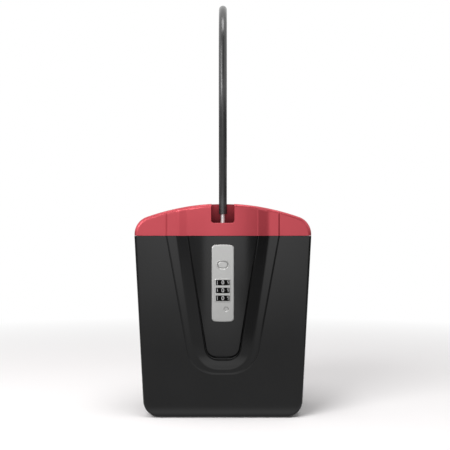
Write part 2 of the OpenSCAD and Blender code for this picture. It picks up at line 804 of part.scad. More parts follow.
// Round rod along a path
module rod(path, r, m) {
    last = (len(path) - 1) * m;
    polyhedron([for (p = path) each ring(p, r, m)], concat(
        [[for (k = [m - 1:-1:0]) k]],
        [for (i = [0:len(path) - 2], k = [0:m - 1]) let (a = i * m, n = (k + 1) % m)
            [a + k, a + n, a + m + n, a + m + k]],
        [[for (k = [0:m - 1]) last + k]]));
}

// Tube along a path: outer rings first, then inner rings
module tube(path, r_out, r_in, m) {
    half = len(path) * m;
    last = half - m;
    polyhedron([for (r = [r_out, r_in], p = path) each ring(p, r, m)], concat(
        [for (k = [0:m - 1]) let (n = (k + 1) % m) [half + k, half + n, n, k]],
        [for (i = [0:len(path) - 2], k = [0:m - 1]) let (a = i * m, n = (k + 1) % m)
            [a + k, a + n, a + m + n, a + m + k]],
        [for (i = [0:len(path) - 2], k = [0:m - 1]) let (a = half + i * m, n = (k + 1) % m)
            [a + n, a + k, a + m + k, a + m + n]],
        [for (k = [0:m - 1]) let (n = (k + 1) % m)
            [last + k, last + n, half + last + n, half + last + k]]));
}

module loop_core() color(steel)
    rod(loop_path(sleeve_toe_z, sleeve_heel_z), core_d / 2 - 2 * core_gap, 12);

module loop_sleeve() color(black)
    tube(loop_path(sleeve_toe_z, sleeve_heel_z), sleeve_d / 2, core_d / 2, 16);

// Toe: a steel pin with a groove for the fork and a tapered tip
module toe_pin() color(steel) {
    r = core_d / 2;
    translate([0, toe_y, 0]) rotate_extrude() polygon([
        [0, toe_low_z], [r - 0.8, toe_low_z], [r, toe_low_z + 1], [r, groove_z],
        [groove_r, groove_z],
        [groove_r, groove_z + groove_h], [r, groove_z + groove_h], [r, sleeve_toe_z],
        [0, sleeve_toe_z]]);
}

module heel_pin() color(steel) {
    r = heel_d / 2;
    neck = r - 0.7;
    translate([0, heel_y, 0]) rotate_extrude() polygon([
        [0, heel_low_z], [r - 0.6, heel_low_z], [r, heel_low_z + 0.6], [r, clip_z - 0.05],
        [neck, clip_z - 0.05], [neck, clip_z + clip_t + 0.05], [r, clip_z + clip_t + 0.05],
        [r, sleeve_heel_z], [0, sleeve_heel_z]]);
}

// Retaining clip that stops the heel from pulling out of the lid
module heel_clip() color(steel) {
    neck = heel_d / 2 - 0.7;
    translate([0, heel_y, clip_z]) difference() {
        cylinder(d = heel_d + 5, h = clip_t);
        translate([0, 0, -1]) cylinder(r = neck + 0.02, h = clip_t + 2);
        translate([-neck, 0, -1]) cube([2 * neck, heel_d + 5, clip_t + 2]);
    }
}

module heel_bush() color(black) {
    translate([0, heel_y, 0]) rotate_extrude() polygon([
        [heel_d / 2 + run_gap, bush_low_z], [bush_d / 2, bush_low_z], [bush_d / 2, top_z + 0.1],
        [bush_d / 2 + 2.4, top_z + 0.1], [bush_d / 2 + 1.4, bush_top_z],
        [heel_d / 2 + run_gap, bush_top_z]]);
}

body_shell();
lid();
lock_plate();
lock_case();
lock_cover();
lock_screws();
release_button();
button_spring();
dial_shaft();
dial_top();
dial_middle();
dial_bottom();
cam_top();
cam_middle();
cam_bottom();
dial_detent();
latch_bolt();
fence_bar();
bolt_spring();
reset_pin();
reset_spring();
hinge_pin();
loop_core();
loop_sleeve();
toe_pin();
heel_pin();
heel_clip();
heel_bush();
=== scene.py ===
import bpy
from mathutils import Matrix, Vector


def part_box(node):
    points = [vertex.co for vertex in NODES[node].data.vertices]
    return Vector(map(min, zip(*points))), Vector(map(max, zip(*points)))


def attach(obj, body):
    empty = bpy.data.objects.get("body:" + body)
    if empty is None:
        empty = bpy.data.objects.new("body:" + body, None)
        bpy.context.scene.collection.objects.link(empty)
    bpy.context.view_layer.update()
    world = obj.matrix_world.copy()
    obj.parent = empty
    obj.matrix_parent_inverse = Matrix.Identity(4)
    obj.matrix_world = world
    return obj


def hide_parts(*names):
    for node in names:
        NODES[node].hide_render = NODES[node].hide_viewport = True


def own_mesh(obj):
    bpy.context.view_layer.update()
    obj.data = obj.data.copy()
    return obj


bl_info = {
    "name": "Portable beach safe",
    "version": (1, 0, 0),
    "blender": (4, 5, 0),
    "location": "View3D > Sidebar > Beach safe",
    "description": "Dresses the packed solids of a lockable bin with a sleeved steel loop",
    "category": "Add Mesh",
}

import math

import bmesh
import bpy
from bpy.props import (
    FloatProperty,
    FloatVectorProperty,
    IntProperty,
    PointerProperty,
)
from mathutils import Vector

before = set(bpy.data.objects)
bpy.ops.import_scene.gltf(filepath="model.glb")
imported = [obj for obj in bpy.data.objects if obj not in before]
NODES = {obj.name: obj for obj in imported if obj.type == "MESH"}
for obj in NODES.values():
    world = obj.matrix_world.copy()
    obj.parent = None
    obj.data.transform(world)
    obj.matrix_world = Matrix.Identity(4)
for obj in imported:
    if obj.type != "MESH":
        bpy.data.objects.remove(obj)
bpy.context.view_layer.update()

MM = 0.001


def rad(degrees):
    return math.radians(degrees)


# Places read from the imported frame, in millimetres
def node_box(name):
    low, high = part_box(name)
    return [v / MM for v in low], [v / MM for v in high]


PLATE_LOW, PLATE_HIGH = node_box("lock_plate")
TOE_LOW, TOE_HIGH = node_box("toe_pin")
HEEL_LOW, HEEL_HIGH = node_box("heel_pin")
CASE_LOW, CASE_HIGH = node_box("lock_case")
HINGE_LOW, HINGE_HIGH = node_box("hinge_pin")
BUTTON_LOW, BUTTON_HIGH = node_box("release_button")


def middle(low, high, axis):
    return (low[axis] + high[axis]) / 2


# Sizes that a user would change
class SafeBody(bpy.types.PropertyGroup):
    width: FloatProperty(
        name="Width", description="Width at the seam", default=0.165, unit="LENGTH"
    )
    depth: FloatProperty(
        name="Depth", description="Depth at the seam", default=0.096, unit="LENGTH"
    )
    seam: FloatProperty(
        name="Seam height", description="Top of the body", default=0.170, unit="LENGTH"
    )
    wall: FloatProperty(
        name="Wall", description="Wall thickness", default=0.0036, unit="LENGTH"
    )
    edge: FloatProperty(
        name="Edge", description="Rounding of front and back", default=0.0020, unit="LENGTH"
    )
    side_draft: FloatProperty(
        name="Side draft", description="Lean of the sides", default=rad(2.9), subtype="ANGLE"
    )
    face_draft: FloatProperty(
        name="Face draft", description="Lean of front and back", default=rad(1.5), subtype="ANGLE"
    )


class SafeLid(bpy.types.PropertyGroup):
    height: FloatProperty(
        name="Height", description="Top of the lid", default=0.200, unit="LENGTH"
    )
    gap: FloatProperty(
        name="Seam gap", description="Gap between lid and body", default=0.0003, unit="LENGTH"
    )
    crown: FloatProperty(
        name="Crown radius", description="Radius of the top", default=0.213, unit="LENGTH"
    )
    corner: FloatProperty(
        name="Corner radius", description="Radius of the shoulders", default=0.017, unit="LENGTH"
    )
    fillet: FloatProperty(
        name="Front fillet", description="Rounding of the top front edge",
        default=0.0032, unit="LENGTH",
    )
    notch_width: FloatProperty(
        name="Notch width", description="Width of the notch", default=0.021, unit="LENGTH"
    )
    notch_floor: FloatProperty(
        name="Notch floor", description="Height of the notch's floor",
        default=0.1822, unit="LENGTH",
    )


class SafeLoop(bpy.types.PropertyGroup):
    diameter: FloatProperty(
        name="Sleeve", description="Outer diameter of the sleeve", default=0.0075, unit="LENGTH"
    )
    core: FloatProperty(
        name="Core", description="Diameter of the steel core", default=0.004, unit="LENGTH"
    )
    bow: FloatProperty(
        name="Bow", description="How far each leg bows out", default=0.022, unit="LENGTH"
    )
    sides: IntProperty(
        name="Sides", description="Sides of the tube", default=72, min=12, max=96
    )


class SafeLock(bpy.types.PropertyGroup):
    plate_bow: FloatProperty(
        name="Plate bow", description="Rise of the plate's top and bottom edges",
        default=0.0007, unit="LENGTH",
    )
    digit: FloatProperty(
        name="Number height", description="Size of the wheel numbers",
        default=0.0054, unit="LENGTH",
    )
    wheel: FloatProperty(
        name="Wheel radius", description="Radius of a number wheel",
        default=0.0085, unit="LENGTH",
    )


class SafeColours(bpy.types.PropertyGroup):
    shell: FloatVectorProperty(
        name="Body", description="Black of the body", subtype="COLOR",
        default=(0.006, 0.006, 0.0062), min=0, max=1,
    )
    lid: FloatVectorProperty(
        name="Lid", description="Red of the lid", subtype="COLOR",
        default=(0.515, 0.064, 0.082), min=0, max=1,
    )
    plate: FloatVectorProperty(
        name="Plate", description="Metal of the plate", subtype="COLOR",
        default=(0.58, 0.58, 0.57), min=0, max=1,
    )
    sleeve: FloatVectorProperty(
        name="Sleeve", description="Black of the sleeve", subtype="COLOR",
        default=(0.026, 0.026, 0.026), min=0, max=1,
    )


class SafeStudio(bpy.types.PropertyGroup):
    distance: FloatProperty(
        name="Distance", description="Camera's distance from the middle plane",
        default=0.900, unit="LENGTH",
    )
    eye: FloatProperty(
        name="Eye height", description="Height of the camera", default=0.1802, unit="LENGTH"
    )
    lens: FloatProperty(name="Lens", description="Focal length in mm", default=73.28)
    key: FloatProperty(name="Key light", description="Power of the key light in W", default=12.5)
    top: FloatProperty(name="Top light", description="Power of the top light in W", default=7.5)
    surround: FloatProperty(
        name="Surround", description="Level of the light from all round", default=0.5
    )


GROUPS = {
    "safe_body": SafeBody,
    "safe_lid": SafeLid,
    "safe_loop": SafeLoop,
    "safe_lock": SafeLock,
    "safe_colours": SafeColours,
    "safe_studio": SafeStudio,
}


def sizes(group):
    return getattr(bpy.context.scene, group)


# Mesh helpers: all outlines are in millimetres and become metres in the mesh
def arc(x, z, r, start, end, steps):
    turn = (end - start) / steps
    return [
        (x + r * math.cos(rad(start + turn * i)), z + r * math.sin(rad(start + turn * i)))
        for i in range(steps + 1)
    ]


def lerp(a, b, f):
    return a + (b - a) * f


# Distance at which points merge and shortest edge that is kept, in metres
MERGE_REACH = 2e-6
SHORT_EDGE = 1e-6


def edit_mesh(mesh, *edits):
    bm = bmesh.new()
    bm.from_mesh(mesh)
    for edit in edits:
        edit(bm)
    bm.to_mesh(mesh)
    bm.free()


def merge_points(bm):
    bmesh.ops.remove_doubles(bm, verts=bm.verts, dist=MERGE_REACH)
    bmesh.ops.dissolve_degenerate(bm, edges=bm.edges, dist=SHORT_EDGE)


def fill_holes(bm):
    holes = [e for e in bm.edges if e.is_boundary]
    if holes:
        bmesh.ops.holes_fill(bm, edges=holes)


def face_outwards(bm):
    bmesh.ops.recalc_face_normals(bm, faces=bm.faces)


def new_object(name, mesh):
    obj = bpy.data.objects.new(name, mesh)
    bpy.context.scene.collection.objects.link(obj)
    return obj


def solid(name, verts, faces):
    mesh = bpy.data.meshes.new(name)
    mesh.from_pydata([Vector(v) * MM for v in verts], [], faces)
    mesh.validate()
    edit_mesh(mesh, merge_points, fill_holes, face_outwards)
    return new_object(name, mesh)


# Quads between rows of equal length: rows may close round, and the last meet the first
def quads(count, rows, around=True, wrap=False):
    faces = []
    for r in range(rows if wrap else rows - 1):
        low, high = r * count, (r + 1) % rows * count
        for k in range(count if around else count - 1):
            n = (k + 1) % count
            faces.append((low + k, low + n, high + n, high + k))
    return faces


# Closed solid through rings of equal length; the two end rings are capped
def loft(name, rings):
    count = len(rings[0])
    verts = [p for ring in rings for p in ring]
    last = (len(rings) - 1) * count
    caps = [tuple(reversed(range(count))), tuple(last + k for k in range(count))]
    return solid(name, verts, quads(count, len(rings)) + caps)


def block(name, x0, x1, y0, y1, z0, z1):
    base = [(x0, y0), (x1, y0), (x1, y1), (x0, y1)]
    return loft(name, [[(x, y, z) for x, y in base] for z in (z0, z1)])


def rounded_rect(w, h, r, steps=8):
    x = w / 2 - r
    z = h / 2 - r
    points = []
    for turn, (side_x, side_z) in enumerate(((1, 1), (-1, 1), (-1, -1), (1, -1))):
        points += arc(side_x * x, side_z * z, r, 90 * turn, 90 * turn + 90, steps)
    return points


# Bar of round section along an axis: "x", "y" or "z"
def bar(name, axis, place, radius, low, high, steps=48):
    rings = []
    for level in (low, high):
        ring = []
        for k in range(steps):
            turn = 2 * math.pi * k / steps
            point = [place[0] + radius * math.cos(turn), place[1] + radius * math.sin(turn)]
            point.insert("xyz".index(axis), level)
            ring.append(tuple(point))
        rings.append(ring)
    return loft(name, rings)


# Prism of an outline drawn in x and z, from depth y0 to y1
def standing(name, outline, y0, y1):
    return loft(name, [[(x, y, z) for x, z in outline] for y in (y0, y1)])


# Makes what an object's modifiers give its plain mesh
def bake(obj):
    bpy.context.view_layer.update()
    graph = bpy.context.evaluated_depsgraph_get()
    mesh = bpy.data.meshes.new_from_object(obj.evaluated_get(graph))
    obj.modifiers.clear()
    old = obj.data
    obj.data = mesh
    mesh.name = obj.name
    bpy.data.meshes.remove(old)


# Applies boolean steps to an object, and removes the tools
def carve(obj, steps):
    for kind, tool in steps:
        mod = obj.modifiers.new(kind, "BOOLEAN")
        mod.operation = kind
        mod.solver = "MANIFOLD"
        mod.object = tool
    bake(obj)
    for kind, tool in steps:
        bpy.data.objects.remove(tool)


def copy_of(obj, name):
    return new_object(name, obj.data.copy())


def set_material(obj, material):
    obj.data.materials.clear()
    obj.data.materials.append(material)


# Merges what booleans leave, marks hard edges and shades the rest smooth
def finish_mesh(obj, material, angle=28):
    edit_mesh(obj.data, merge_points)
    obj.data.polygons.foreach_set("use_smooth", [True] * len(obj.data.polygons))
    obj.data.set_sharp_from_angle(angle=rad(angle))
    level = obj.modifiers.new("flats", "WEIGHTED_NORMAL")
    level.keep_sharp = True
    bake(obj)
    set_material(obj, material)


def dress(obj, body, slot, *nodes):
    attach(obj, body)
    if nodes:
        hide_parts(*nodes)


# Points along each side, bend and foot of the front's outlines
SIDE_STEPS = 14
ARC_STEPS = 14
FLAT_STEPS = 16
HALF = SIDE_STEPS + ARC_STEPS


def mirrored(half):
    left = [(-x, z) for x, z in half]
    foot_x, foot_z = half[-1]
    flat = [(foot_x * (2 * j / FLAT_STEPS - 1), foot_z) for j in range(1, FLAT_STEPS)]
    return left + flat + half[::-1]


def straight(a, b, steps):
    return [(lerp(a[0], b[0], i / steps), lerp(a[1], b[1], i / steps)) for i in range(steps)]


BASE_CORNER = 16
BASE_CORNER_LEAST = 2


# Half outline of the body seen from the front, drawn in by a margin
def body_half(inset):
    body = sizes("safe_body")
    seam = body.seam / MM
    slope = math.tan(body.side_draft)
    base_r = max(BASE_CORNER - inset, BASE_CORNER_LEAST)
    half_top = body.width / MM / 2 - inset
    foot = half_top - (seam - inset - base_r) * slope - base_r / math.cos(body.side_draft)
    bend = arc(foot, inset + base_r, base_r, -math.degrees(body.side_draft), -90, ARC_STEPS)
    return straight((half_top, seam), bend[0], SIDE_STEPS) + bend


# Half outline of a funnel: (half width at the seam, foot's x, foot's radius, lowest z)
def funnel_half(ring):
    w, x, r, low = ring
    seam = sizes("safe_body").seam / MM
    centre = low + r
    away = math.hypot(w - x, seam - centre)
    touch = math.degrees(math.atan2(seam - centre, w - x) - math.acos(r / away))
    bend = arc(x, centre, r, touch, -90, ARC_STEPS)
    return straight((w, seam), bend[0], SIDE_STEPS) + bend


# Nested outlines of the raised front, from the panel inwards
FUNNELS = [
    (52.7, 6.0, 28.0, 41.0),
    (51.5, 4.8, 28.0, 42.2),
    (41.8, 3.5, 25.0, 45.3),
    (33.0, 4.2, 13.0, 55.0),
    (31.8, 6.6, 8.4, 59.4),
    (29.3, 5.8, 6.8, 61.9),
]
SHIELD_REACH = 8.0
SHIELD_EDGE = 5.1

# Section across the raised front: place, height, share of the shield's curve,
# and how far the corner's rounding reaches back and on
STEP_SECTION = [
    (-1.5, 0.0, 0, 0, 0),
    (-0.4, 0.0, 0, 0.1, 0.08),
    (-0.1, -0.12, 0, 0.08, 0.03),
    (0.02, 0.52, 0, 0.03, 0.06),
    (0.95, 1.2, 0, 0.1, 0.05),
    (2.0, 1.2, 0, 0.28, 0.2),
]
GROOVE_SECTION = [
    (3.0, 5.0, 0, 0.09, 0.05),
    (3.14, 3.3, 0, 0.05, 0.05),
    (3.36, 3.2, 0, 0.06, 0.06),
    (3.78, 4.5, 0, 0.03, 0.02),
    (4.0, SHIELD_EDGE, 1, 0.03, 0.15),
]
SHIELD_SECTION = [(5.0, SHIELD_EDGE, 1, 0, 0)]
SECTION = STEP_SECTION + GROOVE_SECTION + SHIELD_SECTION
LID_SECTION = STEP_SECTION + [
    (3.0, 5.0, 0, 0.09, 0.16),
    (4.0, SHIELD_EDGE, 1, 0.12, 0.34),
] + SHIELD_SECTION


def funnel_at(place):
    index = min(max(int(math.floor(place)), 0), len(FUNNELS) - 2)
    f = place - index
    return tuple(lerp(a, b, f) for a, b in zip(FUNNELS[index], FUNNELS[index + 1]))


# Section with its corners rounded: place, height and share of the shield's curve
def rounded_section(corners, steps=4):
    out = []
    for i, (u, height, share, before, after) in enumerate(corners):
        here = (u, height, share)
        if not before and not after:
            out.append(here)
            continue
        last = corners[i - 1][:3]
        ahead = corners[i + 1][:3]
        back = before / (u - last[0])
        on = after / (ahead[0] - u)
        a = tuple(lerp(here[k], last[k], back) for k in range(3))
        b = tuple(lerp(here[k], ahead[k], on) for k in range(3))
        for s in range(steps + 1):
            f = s / steps
            shares = ((1 - f) ** 2, 2 * f * (1 - f), f * f)
            out.append(tuple(
                shares[0] * a[k] + shares[1] * here[k] + shares[2] * b[k] for k in range(3)
            ))
    return out


def shield_height(x):
    half = FUNNELS[4][0]
    bulge = SHIELD_REACH - SHIELD_EDGE
    r = (half * half + bulge * bulge) / (2 * bulge)
    return SHIELD_REACH - r + math.sqrt(max(r * r - x * x, 0))


# Depth of a point on the raised front
def front_depth(u, height, share, x, z):
    body = sizes("safe_body")
    front = -body.depth / MM / 2
    lean = (body.seam / MM - z) * math.tan(body.face_draft)
    drafted = 1 - min(max(u - 2, 0), 1)
    return front + lean * drafted - lerp(height, shield_height(x), share)


def edge_rings(inset, radius, side, angles):
    body = sizes("safe_body")
    half = body.depth / MM / 2
    rings = []
    for a in angles:
        drop = radius * (1 - math.cos(rad(a)))
        reach = half - inset - radius + radius * math.sin(rad(a))
        ring = []
        for x, z in mirrored(body_half(inset + drop)):
            lean = (body.seam / MM - z) * math.tan(body.face_draft)
            ring.append((x, side * (reach - lean), z))
        rings.append(ring)
    return rings


EDGE_ANGLES = [0, 11, 22, 34, 45, 56, 68, 79, 90]


# Straight run that keeps the side walls flat beside the rounded edges
FLAT_RUN = 0.6


# Outer skin of the body, from the back face round the sides to the raised front
def body_skin():
    edge = sizes("safe_body").edge / MM
    back = edge_rings(0, edge, 1, EDGE_ANGLES[::-1])
    front = edge_rings(0, edge, -1, EDGE_ANGLES)
    inner = []
    for side in (1, -1):
        ring = edge_rings(edge + 1, 0, side, [0])[0]
        inner.append([(x, y + side * (edge + 1), z) for x, y, z in ring])
    keep_back = [(x, y - FLAT_RUN, z) for x, y, z in back[-1]]
    keep_front = [(x, y + FLAT_RUN, z) for x, y, z in front[0]]
    rings = [inner[0]] + back + [keep_back, keep_front] + front + [inner[1]]
    for u, height, share in rounded_section(SECTION):
        outline = mirrored(funnel_half(funnel_at(u)))
        rings.append([(x, front_depth(u, height, share, x, z), z) for x, z in outline])
    verts = [p for ring in rings for p in ring]
    count = len(rings[0])
    faces = quads(count, len(rings), around=False)
    for i in range(HALF - 1):
        faces.append((i, i + 1, count - 2 - i, count - 1 - i))
    faces.append(tuple(range(HALF - 1, count - HALF + 1)))
    last = (len(rings) - 1) * count
    rows = [[last + i] for i in range(HALF)]
    for i in range(HALF):
        x, _, z = rings[-1][i]
        for j in range(1, FLAT_STEPS):
            px = x * (1 - 2 * j / FLAT_STEPS)
            rows[i].append(len(verts))
            verts.append((px, front_depth(5, 0, 1, px, z), z))
        rows[i].append(last + count - 1 - i)
    rows.append([last + HALF + j for j in range(FLAT_STEPS + 1)])
    for upper, lower in zip(rows, rows[1:]):
        for j in range(FLAT_STEPS):
            faces.append((upper[j], lower[j], lower[j + 1], upper[j + 1]))
    return solid("bin_shell", verts, faces)


def hollow_block(name, inset, radius, top):
    rings = edge_rings(inset, radius, 1, EDGE_ANGLES[::-1])
    rings += edge_rings(inset, radius, -1, EDGE_ANGLES)
    raised = []
    for ring in rings:
        x0, y0, _ = ring[0]
        x1, y1, _ = ring[-1]
        raised.append([(x0, y0, top)] + ring + [(x1, y1, top)])
    return loft(name, raised)


# Hinge: where the knuckles and their webs stand
KNUCKLE = 4.5
MID_HALF = 20.0
END_LENGTH = 20.0
KNUCKLE_GAP = 0.4
RUN_GAP = 0.08


# The hinge pin's y and z
def hinge_place():
    return middle(HINGE_LOW, HINGE_HIGH, 1), middle(HINGE_LOW, HINGE_HIGH, 2)


def hinge_hole(name):
    y, z = hinge_place()
    radius = (HINGE_HIGH[2] - HINGE_LOW[2]) / 2 + RUN_GAP
    return bar(name, "x", (y, z), radius, HINGE_LOW[0] - 1, HINGE_HIGH[0] + 1)


# Hollow behind the raised front: room behind the panel, and how far it goes in front
HOLLOW_START = 1.5
HOLLOW_REACH = 5


def raised_hollow():
    body = sizes("safe_body")
    wall = body.wall / MM
    front = -body.depth / MM / 2
    top = body.seam / MM + 3
    rings = []
    ends = (FUNNELS[2], front + wall + HOLLOW_START), (FUNNELS[3], front + wall - HOLLOW_REACH)
    for (w, x, r, low), y in ends:
        half = funnel_half((w - wall, x, r - wall, low + wall))
        points = [(px, y, pz) for px, pz in mirrored(half)]
        x0, y0, _ = points[0]
        rings.append([(x0, y0, top)] + points + [(-x0, y0, top)])
    return loft("front_hollow", rings)


# Lock plate: its corners, the height over which its ends are bowed, and points along them
PLATE_CORNER = 3.2
PLATE_CORNER_STEPS = 6
BOW_REACH = 4
BOW_STEPS = 8


# Outline of the lock plate, whose top and bottom edges are bowed
def plate_outline(grow):
    w = PLATE_HIGH[0] - PLATE_LOW[0] + 2 * grow
    h = PLATE_HIGH[2] - PLATE_LOW[2] + 2 * grow
    bow = sizes("safe_lock").plate_bow / MM
    mid = middle(PLATE_LOW, PLATE_HIGH, 2)
    corners = rounded_rect(w, h, PLATE_CORNER + grow, PLATE_CORNER_STEPS)
    points = []
    for (x, z), (n_x, n_z) in zip(corners, corners[1:] + corners[:1]):
        points.append((x, z))
        if abs(z - n_z) < 1e-6 and abs(x - n_x) > BOW_REACH:
            points += [(lerp(x, n_x, j / BOW_STEPS), z) for j in range(1, BOW_STEPS)]
    out = []
    for x, z in points:
        share = max(abs(z) - (h / 2 - BOW_REACH), 0) / BOW_REACH
        out.append((x, mid + z - math.copysign(share * bow * (2 * x / w) ** 2, z)))
    return out


# Screws: distance from the middle, and from the plate's top and foot
SCREW_X = 7.0
SCREW_TOP = 5.4
SCREW_FOOT = 4.4


def screw_places():
    heights = PLATE_HIGH[2] - SCREW_TOP, PLATE_LOW[2] + SCREW_FOOT
    return [(x, z) for x in (-SCREW_X, SCREW_X) for z in heights]


# Body: its corners inside, the room round the plate and the lock's case, the depths of
# the plate's pocket and the case's seat, the opening between them, and the boss holes.
# A cutting piece runs a few millimetres past what it cuts.
HOLLOW_CORNER = 2.5
LOCK_CLEAR = 0.3
POCKET_FRONT = -62
PLATE_BACK = -55.4
SEAT_BACK = -40
OPENING_HALF = 9
OPENING_BACK = -46
OPENING_LOW, OPENING_HIGH = 99.4, 149.5
BOSS_HOLE = 2.75
BOSS_HOLE_BACK = -48


def make_body(material):
    body = sizes("safe_body")
    wall = body.wall / MM
    seam = body.seam / MM
    y, z = hinge_place()
    shell = body_skin()
    back = body.depth / MM / 2
    pocket = plate_outline(LOCK_CLEAR)
    seat_low = CASE_LOW[0] - LOCK_CLEAR
    seat_high = CASE_HIGH[0] + LOCK_CLEAR
    steps = [
        ("UNION", block("web", -MID_HALF, MID_HALF, back - wall / 2, y, z - KNUCKLE, seam)),
        ("UNION", bar("knuckle", "x", (y, z), KNUCKLE, -MID_HALF, MID_HALF)),
        ("DIFFERENCE", hollow_block("hollow", wall, HOLLOW_CORNER, seam + 4)),
        ("DIFFERENCE", raised_hollow()),
        ("DIFFERENCE", hinge_hole("pin_hole")),
        ("DIFFERENCE", standing("pocket", pocket, POCKET_FRONT, PLATE_BACK)),
        ("DIFFERENCE", block("opening", -OPENING_HALF, OPENING_HALF, PLATE_BACK - 1,
                             OPENING_BACK, OPENING_LOW, OPENING_HIGH)),
        ("DIFFERENCE", block("seat", seat_low, seat_high, CASE_LOW[1], SEAT_BACK,
                             CASE_LOW[2] - LOCK_CLEAR, seam + 4)),
    ]
    for place in screw_places():
        hole = bar("boss_hole", "y", place, BOSS_HOLE, PLATE_BACK - 1, BOSS_HOLE_BACK)
        steps.append(("DIFFERENCE", hole))
    carve(shell, steps)
    finish_mesh(shell, material)
    dress(shell, "base", "black_shell", "body_shell")


# The lid's shoulder, drawn in by a margin: its centre, its radius, the crown's radius and
# centre height, and the angle at which the two arcs meet
def shoulder(inset):
    lid = sizes("safe_lid")
    corner = lid.corner / MM - inset
    crown = lid.crown / MM - inset
    crown_z = lid.height / MM - lid.crown / MM
    x = sizes("safe_body").width / MM / 2 - inset - corner
    z = crown_z + math.sqrt((crown - corner) ** 2 - x * x)
    return x, z, corner, crown, crown_z, math.degrees(math.atan2(z - crown_z, x))


# Lid: places across its side panel, and where its top starts to turn with the crown
SHOULDER_STEPS = 16
PANEL_PLACES = (69, 66, 62, 58, 55)
TURN_START = 55
TURN_RUN = 16


# Columns across the lid's outline, each with its normal and its depth on the front
def lid_columns():
    body = sizes("safe_body")
    seam = body.seam / MM
    low = seam + sizes("safe_lid").gap / MM
    front = -body.depth / MM / 2
    corner_x, corner_z, corner, crown, crown_z, turn = shoulder(0)
    right = [(corner_x + corner, low, 1, 0, front)]
    for i in range(SHOULDER_STEPS + 1):
        a = rad(turn * i / SHOULDER_STEPS)
        c, s = math.cos(a), math.sin(a)
        right.append((corner_x + corner * c, corner_z + corner * s, c, s, front))
    places = [(x, front) for x in PANEL_PLACES]
    for u, height, share in rounded_section(LID_SECTION):
        x = funnel_at(u)[0]
        places.append((x, front_depth(u, height, share, x, seam)))
    inner = places[-1][0]
    for j in range(1, FLAT_STEPS // 2 + 1):
        x = inner * (1 - 2 * j / FLAT_STEPS)
        places.append((x, front_depth(5, 0, 1, x, seam)))
    for x, y in places:
        share = min(max((x - TURN_START) / TURN_RUN, 0), 1)
        right.append((x, crown_z + math.sqrt(crown**2 - x * x), share * x / crown, 1, y))
    left = [(-x, z, -nx, nz, y) for x, z, nx, nz, y in right[:-1]]
    return right + left[::-1]


def lid_skin():
    body = sizes("safe_body")
    lid = sizes("safe_lid")
    low = body.seam / MM + lid.gap / MM
    back = body.depth / MM / 2
    edge = body.edge / MM
    fillet = lid.fillet / MM
    columns = lid_columns()
    rings = []

    def row(drop, shift, from_back=False, down=0.0, at_low=False):
        ring = []
        for x, z, nx, nz, y in columns:
            depth = back - shift if from_back else y + shift
            height = low if at_low else max(z - nz * drop - down, low)
            ring.append((x - nx * drop, depth, height))
        rings.append(ring)

    row(fillet, 0, at_low=True)
    row(fillet, 0, down=FLAT_RUN)
    for a in EDGE_ANGLES[::-1]:
        row(fillet * (1 - math.cos(rad(a))), fillet * (1 - math.sin(rad(a))))
    row(0, fillet + FLAT_RUN)
    row(0, edge + FLAT_RUN, from_back=True)
    for a in EDGE_ANGLES:
        row(edge * (1 - math.cos(rad(a))), edge * (1 - math.sin(rad(a))), from_back=True)
    row(edge, 0, from_back=True, down=FLAT_RUN)
    row(edge, 0, from_back=True, at_low=True)
    verts = [p for ring in rings for p in ring]
    return solid("lid_shell", verts, quads(len(columns), len(rings), around=False))


def lid_inner():
    body = sizes("safe_body")
    wall = body.wall / MM
    low = body.seam / MM - 2
    reach = body.depth / MM / 2 - wall
    corner_x, corner_z, corner, crown, crown_z, turn = shoulder(wall)
    half = corner_x + corner
    outline = [(-half, low), (half, low)]
    outline += arc(corner_x, corner_z, corner, 0, turn, 12)
    outline += arc(0, crown_z, crown, turn, 180 - turn, 40)[1:-1]
    outline += arc(-corner_x, corner_z, corner, 180 - turn, 180, 12)
    return standing("lid_hollow", outline, -reach, reach)


# Notch: its back and lower corners, and the flare of its front edge with its depth
NOTCH_BACK = -32.0
NOTCH_CORNER = 2.4
NOTCH_FLARE = 0.7, 0.9


def notch_outline(grow_by, top):
    lid = sizes("safe_lid")
    w = lid.notch_width / MM / 2 + grow_by
    z = lid.notch_floor / MM - grow_by
    r = NOTCH_CORNER + grow_by
    left = arc(-w + r, z + r, r, 180, 270, 6)
    return [(w, top), (-w, top)] + left + arc(w - r, z + r, r, 270, 360, 6)


# Upright wall that runs round inside the body's outline
def ring_block(name, inset, thick, z0, z1):
    body = sizes("safe_body")
    w = body.width / MM - 2 * inset
    d = body.depth / MM - 2 * inset
    verts = []
    for less, z in ((0, z0), (0, z1), (2 * thick, z1), (2 * thick, z0)):
        ring = rounded_rect(w - less, d - less, HOLLOW_CORNER, 4)
        verts += [(x, y, z) for x, y in ring]
    return solid(name, verts, quads(len(ring), 4, wrap=True))


# Inside of the lid: overlap of joined pieces, front of the notch's walls, radius of the
# heel's bush and the room round it, the hole for the toe, the cut over the lock's case,
# the lip's two steps, and how deep and how much wider than the case its gap is
SINK = 0.6
NOTCH_WALLS_FRONT = -55
BUSH = 5.9
BUSH_CLEAR = 0.05
TOE_HOLE = 2.6
UNDERSIDE_HALF = 15
UNDERSIDE_DEPTH = 8
UNDERSIDE_TOP = 178.9
LIP_INSET, LIP_THICK = 0.5, 1.8
LIP_DROP, LIP_RISE = 3, 1.7
LIP_ROOT_THICK = 2.6
LIP_ROOT_LIFT = 0.05
LIP_GAP_DEPTH = 30
LIP_GAP_MARGIN = 2


